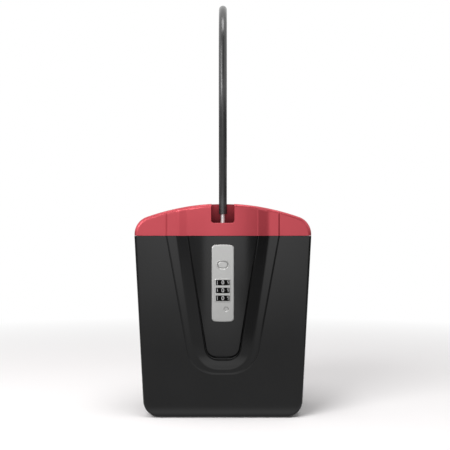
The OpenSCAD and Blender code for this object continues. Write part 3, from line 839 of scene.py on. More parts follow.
# Lip that centres the lid on the body, open where the lock's case stands
def lid_lip():
    body = sizes("safe_body")
    wall = body.wall / MM
    seam = body.seam / MM
    low = seam + sizes("safe_lid").gap / MM
    front = -body.depth / MM / 2
    lip = ring_block("lip", wall + LIP_INSET, LIP_THICK, seam - LIP_DROP, low + LIP_RISE)
    root = ring_block("lip_root", wall - SINK, LIP_ROOT_THICK,
                      low + LIP_ROOT_LIFT, low + LIP_RISE)
    clear = block("lip_gap", CASE_LOW[0] - LIP_GAP_MARGIN, CASE_HIGH[0] + LIP_GAP_MARGIN,
                  front, front + LIP_GAP_DEPTH, seam - LIP_DROP - 1, low + 4)
    carve(lip, [("UNION", root), ("DIFFERENCE", clear)])
    return lip


def make_lid(material):
    body = sizes("safe_body")
    wall = body.wall / MM
    seam = body.seam / MM
    low = seam + sizes("safe_lid").gap / MM
    top = sizes("safe_lid").height / MM
    back = body.depth / MM / 2
    y, z = hinge_place()
    toe = (0, middle(TOE_LOW, TOE_HIGH, 1))
    heel = (0, middle(HEEL_LOW, HEEL_HIGH, 1))
    bush_low = node_box("heel_bush")[0][2]
    shell = lid_skin()
    outline = notch_outline(wall - SINK, top + 5)
    walls = standing("notch_walls", outline, NOTCH_WALLS_FRONT, NOTCH_BACK + wall)
    boss = bar("boss", "z", heel, BUSH + wall, bush_low + 1, top + 5)
    for piece in (walls, boss):
        carve(piece, [("INTERSECT", copy_of(shell, "whole"))])
    steps = [
        ("DIFFERENCE", lid_inner()),
        ("DIFFERENCE", block("underside", -UNDERSIDE_HALF, UNDERSIDE_HALF, CASE_LOW[1],
                             CASE_LOW[1] + UNDERSIDE_DEPTH, seam - 1, UNDERSIDE_TOP)),
        ("UNION", walls),
        ("UNION", boss),
        ("UNION", lid_lip()),
    ]
    inner = MID_HALF + KNUCKLE_GAP
    for x in (-inner - END_LENGTH, inner):
        web = block("lid_web", x, x + END_LENGTH, back - wall / 2, y, low, z + KNUCKLE)
        knuckle = bar("lid_knuckle", "x", (y, z), KNUCKLE, x, x + END_LENGTH)
        steps += [("UNION", web), ("UNION", knuckle)]
    notch = flared("notch", notch_outline(0, top + 6), -back - SHIELD_REACH, NOTCH_BACK,
                   *NOTCH_FLARE)
    steps += [
        ("DIFFERENCE", notch),
        ("DIFFERENCE", hinge_hole("lid_pin_hole")),
        ("DIFFERENCE", bar("toe_hole", "z", toe, TOE_HOLE, seam - 2, top - 4)),
        ("DIFFERENCE", bar("bush_hole", "z", heel, BUSH + BUSH_CLEAR, seam - 2, top + 6)),
    ]
    carve(shell, steps)
    finish_mesh(shell, material)
    dress(shell, "lid_body", "red_lid", "lid")


def dial_heights():
    return [middle(*node_box("dial_" + name), 2) for name in ("top", "middle", "bottom")]


def moved(outline, x, z):
    return [(px + x, pz + z) for px, pz in outline]


def centre_of(outline):
    return [sum(p[k] for p in outline) / len(outline) for k in (0, 1)]


# Cutting prism whose front end widens to a chamfer
def flared(name, outline, y_face, y_back, flare, depth):
    cx, cz = centre_of(outline)
    rings = []
    for by, y in ((2 * flare, y_face - depth), (flare, y_face), (0, y_face + depth), (0, y_back)):
        ring = []
        for x, z in outline:
            out_x = math.copysign(min(abs(x - cx), by), x - cx)
            out_z = math.copysign(min(abs(z - cz), by), z - cz)
            ring.append((x + out_x, y, z + out_z))
        rings.append(ring)
    return loft(name, rings)


# Prism whose front edge is rounded
def cushion(name, outline, y_front, y_back, bevel, steps=4):
    cx, cz = centre_of(outline)
    half_w = max(abs(p[0] - cx) for p in outline)
    half_h = max(abs(p[1] - cz) for p in outline)

    def shrunk(by, y):
        share_x = 1 - by / half_w
        share_z = 1 - by / half_h
        return [(cx + (x - cx) * share_x, y, cz + (z - cz) * share_z) for x, z in outline]

    rings = [shrunk(0, y_back)]
    for i in range(steps + 1):
        a = rad(90 * i / steps)
        rings.append(shrunk(bevel * (1 - math.cos(a)), y_front + bevel - bevel * math.sin(a)))
    rings.append(shrunk(bevel + 0.4, y_front))
    return loft(name, rings)


# Lock plate and button: outlines as width, height and corner radius, and each flare as
# its width and depth; pieces that are joined to the plate sink into it
PLATE_BEVEL = 0.7
PLATE_SINK = 0.3
WINDOW = 12.5, 4.8, 0.5
WINDOW_FLARE = 0.2, 0.3
FRAME_MARGIN = 2.4
FRAME_CORNER = 1.3
FRAME_RISE = 0.35
FRAME_BEVEL = 0.3
RIM = 12.0, 9.2, 4.5
RIM_RISE = 0.12
RIM_BEVEL = 0.11
BUTTON_HOLE = 9.8, 7.2, 3.5
BUTTON_FLARE = 0.42, 0.45
RESET_HOLE = 3.7, 3.7, 1.84
RESET_FLARE = 0.4, 0.45
CAP = 8.8, 6.2, 3.0
CAP_BEVEL = 0.5
CAP_OVERLAP = 0.2
FLANGE = 11.8, 7.8, 2
FLANGE_BEVEL = 0.1
STEM = 2
BOSS = 2.6
BOSS_BORE = 1.25

# Angle in degrees over which an edge counts as hard, on the metal and on round pieces
METAL_ANGLE = 34
ROUND_ANGLE = 50


# Bevelled plate with a raised frame round the windows and a rim round the button
def make_plate(material):
    dials = dial_heights()
    face = PLATE_LOW[1]
    deep = PLATE_BACK + 1
    button_z = middle(BUTTON_LOW, BUTTON_HIGH, 2)
    reset = node_box("reset_pin")
    plate = cushion("front_plate", plate_outline(0), face, PLATE_BACK, PLATE_BEVEL, 5)
    frame_h = dials[0] - dials[2] + WINDOW[1] + FRAME_MARGIN
    surround = moved(rounded_rect(WINDOW[0] + FRAME_MARGIN, frame_h, FRAME_CORNER), 0, dials[1])
    rim = moved(rounded_rect(*RIM, 10), 0, button_z)
    hole = moved(rounded_rect(*BUTTON_HOLE, 10), 0, button_z)
    sunk = face + PLATE_SINK
    steps = [
        ("UNION", cushion("frame", surround, face - FRAME_RISE, sunk, FRAME_BEVEL, 3)),
        ("UNION", cushion("rim", rim, face - RIM_RISE, sunk, RIM_BEVEL, 3)),
        ("DIFFERENCE", flared("button_hole", hole, face - RIM_RISE, deep, *BUTTON_FLARE)),
    ]
    for z in dials:
        window = moved(rounded_rect(*WINDOW, 3), 0, z)
        opening = flared("window", window, face - FRAME_RISE, deep, *WINDOW_FLARE)
        steps.append(("DIFFERENCE", opening))
    ring = moved(rounded_rect(*RESET_HOLE, 8), middle(*reset, 0), middle(*reset, 2))
    steps.append(("DIFFERENCE", flared("reset_hole", ring, face, deep, *RESET_FLARE)))
    for kind, name, radius, start, end in (
        ("UNION", "boss", BOSS, PLATE_BACK - PLATE_SINK, PLATE_HIGH[1]),
        ("DIFFERENCE", "boss_bore", BOSS_BORE, face + 1, PLATE_HIGH[1] + 1),
    ):
        steps += [(kind, bar(name, "y", place, radius, start, end)) for place in screw_places()]
    carve(plate, steps)
    finish_mesh(plate, material, METAL_ANGLE)
    dress(plate, "base", "plate_metal", "lock_plate")


def make_button(material):
    z = middle(BUTTON_LOW, BUTTON_HIGH, 2)
    pill = moved(rounded_rect(*CAP, 12), 0, z)
    flange = moved(rounded_rect(*FLANGE, 8), 0, z)
    joint_y = PLATE_BACK + CAP_OVERLAP
    cap = cushion("button_cap", pill, BUTTON_LOW[1], joint_y, CAP_BEVEL, 5)
    carve(cap, [
        ("UNION", cushion("flange", flange, PLATE_BACK, PLATE_BACK + 1, FLANGE_BEVEL, 1)),
        ("UNION", bar("stem", "y", (0, z), STEM, joint_y, BUTTON_HIGH[1])),
    ])
    finish_mesh(cap, material, METAL_ANGLE)
    dress(cap, "button", "plate_metal", "release_button")


# Loop: degrees by which a leg leans out and then in, radius of the arc at its foot, and
# the height over the lid at which that arc starts
LEG_OUT = 24
LEG_IN = 10
FOOT_R = 70
FOOT_RISE = 4


# Route of the loop, seen from the side: out from the foot, in to the top arc
def loop_points():
    toe_y = middle(TOE_LOW, TOE_HIGH, 1)
    leg = (middle(HEEL_LOW, HEEL_HIGH, 1) - toe_y) / 2
    out, back_in = rad(LEG_OUT), rad(LEG_IN)
    bow = sizes("safe_loop").bow / MM
    leg_r = (bow - FOOT_R * (1 - math.cos(out))) / (1 - math.cos(out))
    wide = leg + bow
    top_r = (wide - leg_r * (1 - math.cos(back_in))) / math.cos(back_in)
    start = sizes("safe_lid").height / MM + FOOT_RISE
    wide_z = start + (FOOT_R + leg_r) * math.sin(out)
    top_z = wide_z + (leg_r - top_r) * math.sin(back_in)

    def half(foot):
        points = [(leg, lerp(foot, start, i / 4)) for i in range(4)]
        for i in range(13):
            a = out * i / 12
            points.append((leg + FOOT_R * (1 - math.cos(a)), start + FOOT_R * math.sin(a)))
        for degree in range(1 - LEG_OUT, LEG_IN + 1):
            a = rad(degree)
            points.append((wide - leg_r * (1 - math.cos(a)), wide_z + leg_r * math.sin(a)))
        for degree in range(LEG_IN + 2, 91, 2):
            a = rad(degree)
            points.append((top_r * math.cos(a), top_z + top_r * math.sin(a)))
        return points

    centre = toe_y + leg
    route = [(0, centre + y, z) for y, z in half(HEEL_HIGH[2])]
    return route + [(0, centre - y, z) for y, z in half(TOE_HIGH[2])[:-1][::-1]]


# Node helpers: each socket is linked or given its value
def wire(tree, node, sockets):
    for place, value in sockets.items():
        if isinstance(value, bpy.types.NodeSocket):
            tree.links.new(value, node.inputs[place])
        else:
            node.inputs[place].default_value = value


def put(tree, kind, sockets=None, **fields):
    node = tree.nodes.new(kind)
    for name, value in fields.items():
        setattr(node, name, value)
    wire(tree, node, sockets or {})
    return node


def math_node(tree, kind, *values):
    return put(tree, "ShaderNodeMath", dict(enumerate(values)), operation=kind).outputs[0]


# Geometry Nodes: the socket helpers
def new_tree(name, inputs):
    tree = bpy.data.node_groups.new(name, "GeometryNodeTree")
    tree.interface.new_socket(name="Geometry", in_out="INPUT", socket_type="NodeSocketGeometry")
    for label, kind, value in inputs:
        socket = tree.interface.new_socket(name=label, in_out="INPUT", socket_type=kind)
        if value is not None:
            socket.default_value = value
    tree.interface.new_socket(name="Geometry", in_out="OUTPUT", socket_type="NodeSocketGeometry")
    return tree, tree.nodes.new("NodeGroupInput"), tree.nodes.new("NodeGroupOutput")


def socket_id(tree, label):
    for item in tree.interface.items_tree:
        if item.item_type == "SOCKET" and item.in_out == "INPUT" and item.name == label:
            return item.identifier
    raise KeyError(label)


# Closes a tree: plain mesh and material last
def close_tree(tree, source, given, result):
    plain = put(tree, "GeometryNodeRealizeInstances", {0: source})
    paint = put(tree, "GeometryNodeSetMaterial", {
        "Geometry": plain.outputs[0], "Material": given.outputs["Finish"],
    })
    tree.links.new(paint.outputs[0], result.inputs[0])


# Runs a tree on an object's mesh, and keeps the outcome as a plain mesh
def grow(name, mesh, tree, values):
    obj = new_object(name, mesh)
    mod = obj.modifiers.new(name, "NODES")
    mod.node_group = tree
    for label, value in values.items():
        mod[socket_id(tree, label)] = value
    bake(obj)
    return obj


# Sweeps a circle along a curve
def swept(tree, curve, radius, sides, caps=False):
    circle = put(tree, "GeometryNodeCurvePrimitiveCircle", {"Resolution": sides, "Radius": radius})
    sweep = put(tree, "GeometryNodeCurveToMesh", {
        "Curve": curve, "Profile Curve": circle.outputs["Curve"], "Fill Caps": caps,
    })
    return sweep.outputs[0]


# Tube along the mesh line it is given, with its inner wall
def tube_tree():
    tree, given, result = new_tree("Tube along a line", [
        ("Radius", "NodeSocketFloat", 0.0036),
        ("Bore", "NodeSocketFloat", 0.002),
        ("Sides", "NodeSocketInt", 32),
        ("Finish", "NodeSocketMaterial", None),
    ])
    curve = put(tree, "GeometryNodeMeshToCurve", {"Mesh": given.outputs["Geometry"]})
    join = tree.nodes.new("GeometryNodeJoinGeometry")
    for label in ("Bore", "Radius"):
        wall = swept(tree, curve.outputs[0], given.outputs[label], given.outputs["Sides"])
        tree.links.new(wall, join.inputs[0])
    close_tree(tree, join.outputs[0], given, result)
    return tree


# Joins a tube's two walls at each of its ends
def bridge_ends(bm):
    ends = {}
    for edge in bm.edges:
        if edge.is_boundary:
            mid = (edge.verts[0].co + edge.verts[1].co) / 2
            ends.setdefault(mid.y > 0, []).append(edge)
    for edges in ends.values():
        bmesh.ops.bridge_loops(bm, edges=edges)


def make_sleeve(material):
    loop = sizes("safe_loop")
    route = loop_points()
    line = bpy.data.meshes.new("route")
    edges = [(i, i + 1) for i in range(len(route) - 1)]
    line.from_pydata([Vector(p) * MM for p in route], edges, [])
    sleeve = grow("sleeve_tube", line, tube_tree(), {
        "Radius": loop.diameter / 2,
        "Bore": loop.core / 2,
        "Sides": loop.sides,
        "Finish": material,
    })
    edit_mesh(sleeve.data, bridge_ends, face_outwards)
    finish_mesh(sleeve, material, ROUND_ANGLE)
    dress(sleeve, "loop", "black_sleeve", "loop_sleeve")


# Coil spring: a spiral swept by a round wire, stood along y
def coil_tree():
    tree, given, result = new_tree("Coil spring", [
        ("Radius", "NodeSocketFloat", 0.002),
        ("Wire", "NodeSocketFloat", 0.0003),
        ("Length", "NodeSocketFloat", 0.01),
        ("Turns", "NodeSocketFloat", 5.0),
        ("Place", "NodeSocketVector", None),
        ("Finish", "NodeSocketMaterial", None),
    ])
    spiral = put(tree, "GeometryNodeCurveSpiral", {
        "Resolution": 32,
        "Start Radius": given.outputs["Radius"],
        "End Radius": given.outputs["Radius"],
        "Height": given.outputs["Length"],
        "Rotations": given.outputs["Turns"],
    })
    stand = put(tree, "GeometryNodeTransform", {
        "Geometry": swept(tree, spiral.outputs[0], given.outputs["Wire"], 12, caps=True),
        "Translation": given.outputs["Place"],
        "Rotation": (rad(-90), 0, 0),
    })
    close_tree(tree, stand.outputs[0], given, result)
    return tree


# Coils by node: name, wire radius, turns, the joint that would press it and the share of its
# length that would be left; the script does not shorten a coil, it only gives a coil with a joint
# a mesh of its own
COILS = {
    "button_spring": ("button_coil", 0.3, 6, "button_press", 0.793),
    "bolt_spring": ("bolt_coil", 0.3, 5, None, 1),
    "reset_spring": ("reset_coil", 0.25, 5, "reset_press", 0.77),
}


def make_coils(material):
    tree = coil_tree()
    for node, (name, wire_r, turns, joint, keep) in COILS.items():
        low, high = node_box(node)
        place = (middle(low, high, 0), low[1] + wire_r, middle(low, high, 2))
        coil = grow(name, bpy.data.meshes.new(name), tree, {
            "Radius": ((high[0] - low[0]) / 2 - wire_r) * MM,
            "Wire": wire_r * MM,
            "Length": (high[1] - low[1] - 2 * wire_r) * MM,
            "Turns": float(turns),
            "Place": [v * MM for v in place],
            "Finish": material,
        })
        finish_mesh(coil, material, ROUND_ANGLE)
        dress(coil, "base", "steel", node)
        if joint:
            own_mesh(coil)


# Numbers of one wheel: ten characters stood round it and bent to its rim
def number_tree():
    tree, given, result = new_tree("Wheel numbers", [
        ("Radius", "NodeSocketFloat", 0.0085),
        ("Size", "NodeSocketFloat", 0.0042),
        ("Rise", "NodeSocketFloat", 0.00006),
        ("Place", "NodeSocketVector", None),
        ("Finish", "NodeSocketMaterial", None),
    ])
    join = tree.nodes.new("GeometryNodeJoinGeometry")
    for digit in range(10):
        text = put(tree, "GeometryNodeStringToCurves", {
            "String": str(digit), "Size": given.outputs["Size"],
        }, align_x="CENTER", align_y="MIDDLE")
        whole = put(tree, "GeometryNodeRealizeInstances", {0: text.outputs[0]})
        fill = put(tree, "GeometryNodeFillCurve", {0: whole.outputs[0]})
        raised = put(tree, "GeometryNodeExtrudeMesh", {
            "Mesh": fill.outputs[0], "Offset Scale": given.outputs["Rise"], "Individual": False,
        })
        under = put(tree, "GeometryNodeFlipFaces", {0: fill.outputs[0]})
        both = put(tree, "GeometryNodeJoinGeometry", {0: under.outputs[0]})
        tree.links.new(raised.outputs[0], both.inputs[0])
        tree.links.new(bent_round(tree, given, both.outputs[0], digit), join.inputs[0])
    weld = put(tree, "GeometryNodeMergeByDistance", {0: join.outputs[0], "Distance": 1e-7})
    close_tree(tree, weld.outputs[0], given, result)
    return tree


# Wraps a flat character, drawn in x and y, round the wheel at its own angle
def bent_round(tree, given, geometry, digit):
    place = tree.nodes.new("GeometryNodeInputPosition")
    across, up, out = put(tree, "ShaderNodeSeparateXYZ", {0: place.outputs[0]}).outputs
    angle = math_node(tree, "DIVIDE", across, given.outputs["Radius"])
    angle = math_node(tree, "ADD", angle, rad(-90 - 36 * digit))
    away = math_node(tree, "ADD", out, given.outputs["Radius"])
    made = put(tree, "ShaderNodeCombineXYZ", {
        0: math_node(tree, "MULTIPLY", math_node(tree, "COSINE", angle), away),
        1: math_node(tree, "MULTIPLY", math_node(tree, "SINE", angle), away),
        2: up,
    })
    shift = put(tree, "ShaderNodeVectorMath", {
        0: made.outputs[0], 1: given.outputs["Place"],
    }, operation="ADD")
    move = put(tree, "GeometryNodeSetPosition", {
        "Geometry": geometry, "Position": shift.outputs[0],
    })
    return move.outputs[0]


def make_numbers(material):
    lock = sizes("safe_lock")
    tree = number_tree()
    for name in ("top", "middle", "bottom"):
        wheel = node_box("dial_" + name)
        place = (0, middle(*node_box("dial_shaft"), 1), middle(*wheel, 2))
        numbers = grow("numbers_" + name, bpy.data.meshes.new("numbers_" + name), tree, {
            "Radius": lock.wheel,
            "Size": lock.digit,
            "Place": [v * MM for v in place],
            "Finish": material,
        })
        edit_mesh(numbers.data, face_outwards)
        set_material(numbers, material)
        dress(numbers, name + "_dial", "dial_black")


# Shader groups: grain and brushing that several finishes share
def shader_group(name, inputs, outputs):
    group = bpy.data.node_groups.new(name, "ShaderNodeTree")
    sockets = group.interface
    for label, value in inputs:
        socket = sockets.new_socket(name=label, in_out="INPUT", socket_type="NodeSocketFloat")
        socket.default_value = value
    for label in outputs:
        sockets.new_socket(name=label, in_out="OUTPUT", socket_type="NodeSocketFloat")
    return group, group.nodes.new("NodeGroupInput"), group.nodes.new("NodeGroupOutput")


def object_coords(tree):
    return tree.nodes.new("ShaderNodeTexCoord").outputs["Object"]


def noise_node(tree, coords, scale, detail, rough=0.5):
    return put(tree, "ShaderNodeTexNoise", {
        "Vector": coords, "Scale": scale, "Detail": detail, "Roughness": rough,
    }).outputs["Fac"]


def map_range(tree, value, low, high, to_low, to_high):
    return put(tree, "ShaderNodeMapRange", {
        "Value": value, "From Min": low, "From Max": high, "To Min": to_low, "To Max": to_high,
    }).outputs["Result"]


def weighted(tree, first, share, second, other):
    first = math_node(tree, "MULTIPLY", first, share)
    return math_node(tree, "ADD", first, math_node(tree, "MULTIPLY", second, other))


# Moulded plastic: fine spark grain, broad flow marks and faint handling scuffs
def moulded_group():
    group, given, result = shader_group(
        "Moulded grain",
        [("Grain scale", 2600.0), ("Rough low", 0.34), ("Rough high", 0.44)],
        ["Roughness", "Height", "Tone"],
    )
    coords = object_coords(group)
    flow = noise_node(group, coords, 22.0, 4, 0.55)
    scuffs = map_range(group, noise_node(group, coords, 160.0, 6, 0.7), 0.58, 0.80, 0.0, 1.0)
    mixed = weighted(group, flow, 0.65, scuffs, 0.35)
    rough = given.outputs["Rough low"], given.outputs["Rough high"]
    wire(group, result, {
        "Roughness": map_range(group, mixed, 0.2, 0.7, *rough),
        "Height": noise_node(group, coords, given.outputs["Grain scale"], 3, 0.6),
        "Tone": map_range(group, flow, 0.3, 0.7, 0.0, 1.0),
    })
    return group


# Metal: fine lines along one direction over a soft cloud
def brushed_group():
    group, given, result = shader_group(
        "Brushed lines",
        [("Stretch x", 300.0), ("Stretch y", 300.0), ("Stretch z", 6000.0),
         ("Rough low", 0.25), ("Rough high", 0.38)],
        ["Roughness", "Height", "Tone"],
    )
    coords = object_coords(group)
    stretches = {k: given.outputs["Stretch " + axis] for k, axis in enumerate("xyz")}
    scale = put(group, "ShaderNodeCombineXYZ", stretches)
    stretch = put(group, "ShaderNodeVectorMath", {0: coords, 1: scale.outputs[0]},
                  operation="MULTIPLY")
    lines = noise_node(group, stretch.outputs[0], 1.0, 3, 0.6)
    mixed = weighted(group, lines, 0.6, noise_node(group, coords, 60.0, 4, 0.5), 0.4)
    rough = given.outputs["Rough low"], given.outputs["Rough high"]
    wire(group, result, {
        "Roughness": map_range(group, mixed, 0.3, 0.7, *rough),
        "Height": lines,
        "Tone": map_range(group, mixed, 0.35, 0.65, 0.0, 1.0),
    })
    return group


GROUP_MAKERS = {"Moulded grain": moulded_group, "Brushed lines": brushed_group}


def shared(name):
    return bpy.data.node_groups.get(name) or GROUP_MAKERS[name]()


def moulded(scale, low, high):
    return "Moulded grain", {"Grain scale": scale, "Rough low": low, "Rough high": high}


def brushed(x, y, z, low, high):
    return "Brushed lines", {
        "Stretch x": x, "Stretch y": y, "Stretch z": z, "Rough low": low, "Rough high": high,
    }


# Finishes: shared group with its values, two close tones, and what differs in the look.
# Tones are two colours, or a colour of the panel and the share that makes the second.
FINISHES = {
    "satin black plastic": (
        moulded(2600, 0.14, 0.19), ("shell", 1.25), {"bump": 0.04, "specular": 0.55},
    ),
    "satin red plastic": (
        moulded(2600, 0.28, 0.34), ("lid", 1.05), {"metallic": 0.45, "bump": 0.05},
    ),
    "satin plated metal": (
        brushed(260, 300, 5200, 0.30, 0.40), ("plate", 1.06), {"metallic": 1.0, "bump": 0.05},
    ),
    "turned steel": (
        brushed(500, 500, 4200, 0.2, 0.34),
        ((0.62, 0.62, 0.63), (0.70, 0.70, 0.71)), {"metallic": 1.0, "bump": 0.08},
    ),
    "bright steel": (
        brushed(500, 500, 4200, 0.34, 0.44),
        ((0.70, 0.70, 0.70), (0.76, 0.76, 0.76)), {"metallic": 0.5, "bump": 0.05},
    ),
    "machined brass": (
        brushed(700, 700, 5000, 0.24, 0.38),
        ((0.66, 0.48, 0.20), (0.74, 0.56, 0.26)), {"metallic": 1.0, "bump": 0.08},
    ),
    "matte black plastic": (
        moulded(1500, 0.55, 0.7),
        ((0.018, 0.018, 0.019), (0.026, 0.026, 0.027)), {"bump": 0.3, "reach": 0.00008},
    ),
    "number wheel black": (
        moulded(3200, 0.5, 0.65),
        ((0.003, 0.003, 0.003), (0.005, 0.005, 0.005)), {"specular": 0.04},
    ),
    "number paint": (
        moulded(4000, 0.45, 0.6), ((0.56, 0.56, 0.56), (0.62, 0.62, 0.62)), {},
    ),
    "smooth black sleeve": (
        moulded(1800, 0.22, 0.32), ("sleeve", 1.3), {"bump": 0.04, "specular": 0.85},
    ),
}
PLAIN_LOOK = {"metallic": 0.0, "specular": 0.5, "bump": 0.1, "reach": 0.00004}


def finish(name):
    found = bpy.data.materials.get(name)
    if found:
        return found
    (group, values), (first, second), own = FINISHES[name]
    if isinstance(first, str):
        share = second
        first = tuple(getattr(sizes("safe_colours"), first))
        second = tuple(min(c * share, 1) for c in first)
    look = {**PLAIN_LOOK, **own}
    material = bpy.data.materials.new(name)
    material.use_nodes = True
    tree = material.node_tree
    grain = put(tree, "ShaderNodeGroup", node_tree=shared(group))
    wire(tree, grain, values)
    mix = put(tree, "ShaderNodeMix", data_type="RGBA")
    wire(tree, mix, {"A": (*first, 1), "B": (*second, 1), "Factor": grain.outputs["Tone"]})
    rise = put(tree, "ShaderNodeBump", {
        "Strength": look["bump"], "Distance": look["reach"], "Height": grain.outputs["Height"],
    })
    wire(tree, tree.nodes["Principled BSDF"], {
        "Base Color": mix.outputs["Result"],
        "Metallic": look["metallic"],
        "Roughness": grain.outputs["Roughness"],
        "Specular IOR Level": look["specular"],
        "Normal": rise.outputs["Normal"],
    })
    return material


# Painted shade in the notch of the lid's finish, in metres: its front, where the painted shade
# starts to deepen, the margin round its walls and the darkest red of the painted shade
NOTCH_FRONT_Y = -0.0556
NOTCH_SHADE_START_Y = -0.052
NOTCH_MARGIN = 0.0001
NOTCH_SHADE_RED = (0.10, 0.007, 0.011, 1)


# The lid's red with painted shade inside the notch: darker towards the notch's back and floor, and
# more metallic inside it towards its back
def lid_finish():
    material = finish("satin red plastic")
    tree = material.node_tree
    lid = sizes("safe_lid")
    split = put(tree, "ShaderNodeSeparateXYZ", {0: object_coords(tree)})
    across = math_node(tree, "ABSOLUTE", split.outputs["X"])
    inside = math_node(tree, "LESS_THAN", across, lid.notch_width / 2 + NOTCH_MARGIN)
    for kind, label, limit in (
        ("GREATER_THAN", "Y", NOTCH_FRONT_Y),
        ("LESS_THAN", "Y", NOTCH_BACK * MM + NOTCH_MARGIN),
        ("GREATER_THAN", "Z", lid.notch_floor - NOTCH_MARGIN),
    ):
        within = math_node(tree, kind, split.outputs[label], limit)
        inside = math_node(tree, "MULTIPLY", inside, within)
    # Painted shade: the notch darkens towards its back and towards its floor
    back = (NOTCH_BACK - 3) * MM
    shade_to_back = map_range(tree, split.outputs["Y"], NOTCH_SHADE_START_Y, back, 0.3, 1.0)
    inside = math_node(tree, "MULTIPLY", inside, shade_to_back)
    low = map_range(tree, split.outputs["Z"], lid.notch_floor, lid.height, 1.0, 0.4)
    shader = tree.nodes["Principled BSDF"]
    # Mixes in the dark red of the painted shade
    deep = put(tree, "ShaderNodeMix", data_type="RGBA")
    wire(tree, deep, {
        "A": shader.inputs["Base Color"].links[0].from_socket,
        "B": NOTCH_SHADE_RED,
        "Factor": math_node(tree, "MULTIPLY", inside, low),
    })
    wire(tree, shader, {
        "Base Color": deep.outputs["Result"],
        "Metallic": map_range(tree, inside, 0.0, 1.0, 0.45, 0.85),
    })
    return material


# Finishes of the solids that are carried over as they are
CARRIED = {
    "matte black plastic": ["lock_case", "lock_cover", "heel_bush"],
    "turned steel": [
        "lock_screws", "dial_shaft", "dial_detent", "latch_bolt", "fence_bar", "hinge_pin",
        "loop_core", "heel_pin", "heel_clip",
    ],
    "satin plated metal": ["reset_pin"],
    "bright steel": ["toe_pin"],
    "number wheel black": ["dial_top", "dial_middle", "dial_bottom"],
    "machined brass": ["cam_top", "cam_middle", "cam_bottom"],
}


# Stage, whose places are in metres. Rays give 1 from the camera, in gloss and through
# glass, and 0 for the light that is given off.
def seen_rays(tree):
    rays = tree.nodes.new("ShaderNodeLightPath").outputs
    seen = math_node(tree, "MAXIMUM", rays["Is Camera Ray"], rays["Is Glossy Ray"])
    return math_node(tree, "MAXIMUM", seen, rays["Is Transmission Ray"])


# Distances at which the floor starts to fade and has turned white
FADE_START = 0.35
FADE_END = 0.9


def floor_material():
    material = bpy.data.materials.new("pale floor")
    material.use_nodes = True
    tree = material.node_tree
    coords = object_coords(tree)
    mix = put(tree, "ShaderNodeMix", data_type="RGBA")
    wire(tree, mix, {
        "A": (0.95, 0.93, 0.93, 1),
        "B": (0.96, 0.94, 0.94, 1),
        "Factor": noise_node(tree, coords, 3.0, 2),
    })
    shader = tree.nodes["Principled BSDF"]
    wire(tree, shader, {
        "Base Color": mix.outputs["Result"], "Roughness": 0.9, "Specular IOR Level": 0.0,
    })
    away = put(tree, "ShaderNodeVectorMath", {0: coords}, operation="LENGTH")
    fade = map_range(tree, away.outputs["Value"], FADE_START, FADE_END, 0.0, 1.0)
    white = tree.nodes.new("ShaderNodeEmission")
    blend = put(tree, "ShaderNodeMixShader", {
        0: math_node(tree, "MULTIPLY", fade, seen_rays(tree)),
        1: shader.outputs[0],
        2: white.outputs[0],
    })
    wire(tree, tree.nodes["Material Output"], {"Surface": blend.outputs[0]})
    return material


# Floor, in millimetres: half its side, and its height just under the feet
FLOOR_HALF = 6000
FLOOR_Z = -0.2


def make_floor():
    corners = ((-1, -1), (1, -1), (1, 1), (-1, 1))
    verts = [(x * FLOOR_HALF, y * FLOOR_HALF, FLOOR_Z) for x, y in corners]
    floor = solid("floor", verts, [(0, 1, 2, 3)])
    floor.visible_diffuse = False
    floor.data.materials.append(floor_material())


# White to the camera, in gloss and through glass; a softer level for the light it gives
def make_world():
    world = bpy.data.worlds.new("surround")
    bpy.context.scene.world = world
    world.use_nodes = True
    tree = world.node_tree
    level = map_range(tree, seen_rays(tree), 0.0, 1.0, sizes("safe_studio").surround, 1.0)
    wire(tree, tree.nodes["Background"], {"Color": (1, 1, 1, 1), "Strength": level})


# Lamps: place, what they aim at, and the side of their square
LAMPS = {
    "key": ((-0.6, -1.0, 0.75), (0, -0.05, 0.15), 0.7),
    "top": ((0, -0.35, 1.4), (0, -0.1, 0.1), 0.8),
}


def add_lamp(name, place, aim, size, power):
    data = bpy.data.lights.new(name, "AREA")
    data.shape = "SQUARE"
    data.size = size
    data.energy = power
    lamp = new_object(name, data)
    lamp.location = place
    lamp.rotation_euler = (Vector(aim) - Vector(place)).to_track_quat("-Z", "Y").to_euler()


# Studio card, seen only in reflections and, where it bounces, by the light it gives back
def add_card(name, verts, faces, tone, bounce):
    mesh = bpy.data.meshes.new(name)
    mesh.from_pydata([Vector(v) for v in verts], [], faces)
    card = new_object(name, mesh)
    material = bpy.data.materials.new(name)
    material.use_nodes = True
    wire(material.node_tree, material.node_tree.nodes["Principled BSDF"], {
        "Base Color": (tone, tone, tone, 1), "Roughness": 1.0, "Specular IOR Level": 0.0,
    })
    card.data.materials.append(material)
    card.visible_camera = False
    card.visible_shadow = False
    card.visible_diffuse = bounce
    return material


# Upright card along a line on the floor plan
def add_side_card(name, line, tone):
    count = len(line)
    verts = [(x, y, z) for z in (0.0, SIDE_TOP) for x, y in line]
    faces = [(i, i + 1, count + i + 1, count + i) for i in range(count - 1)]
    add_card(name, verts, faces, tone, True)


# Where the foot of the front ends
FOOT_Y = -0.0436

# Glow of the floor cards by their distance in front of the object, as a share of its reach, seen
# only in reflections as a painted reflection on the front: a pale strip just before the foot,
# which paints the lighter lower bowl of the slope, then dark to pale
TONE_REACH = 2.5
FLOOR_GLOW_TONES = [
    (0.0200, 0.36), (0.0225, 0.78), (0.0265, 0.78), (0.0290, 0.36),
    (0.17, 0.36), (0.26, 0.45), (0.40, 0.65), (0.62, 0.84), (0.95, 0.98),
]


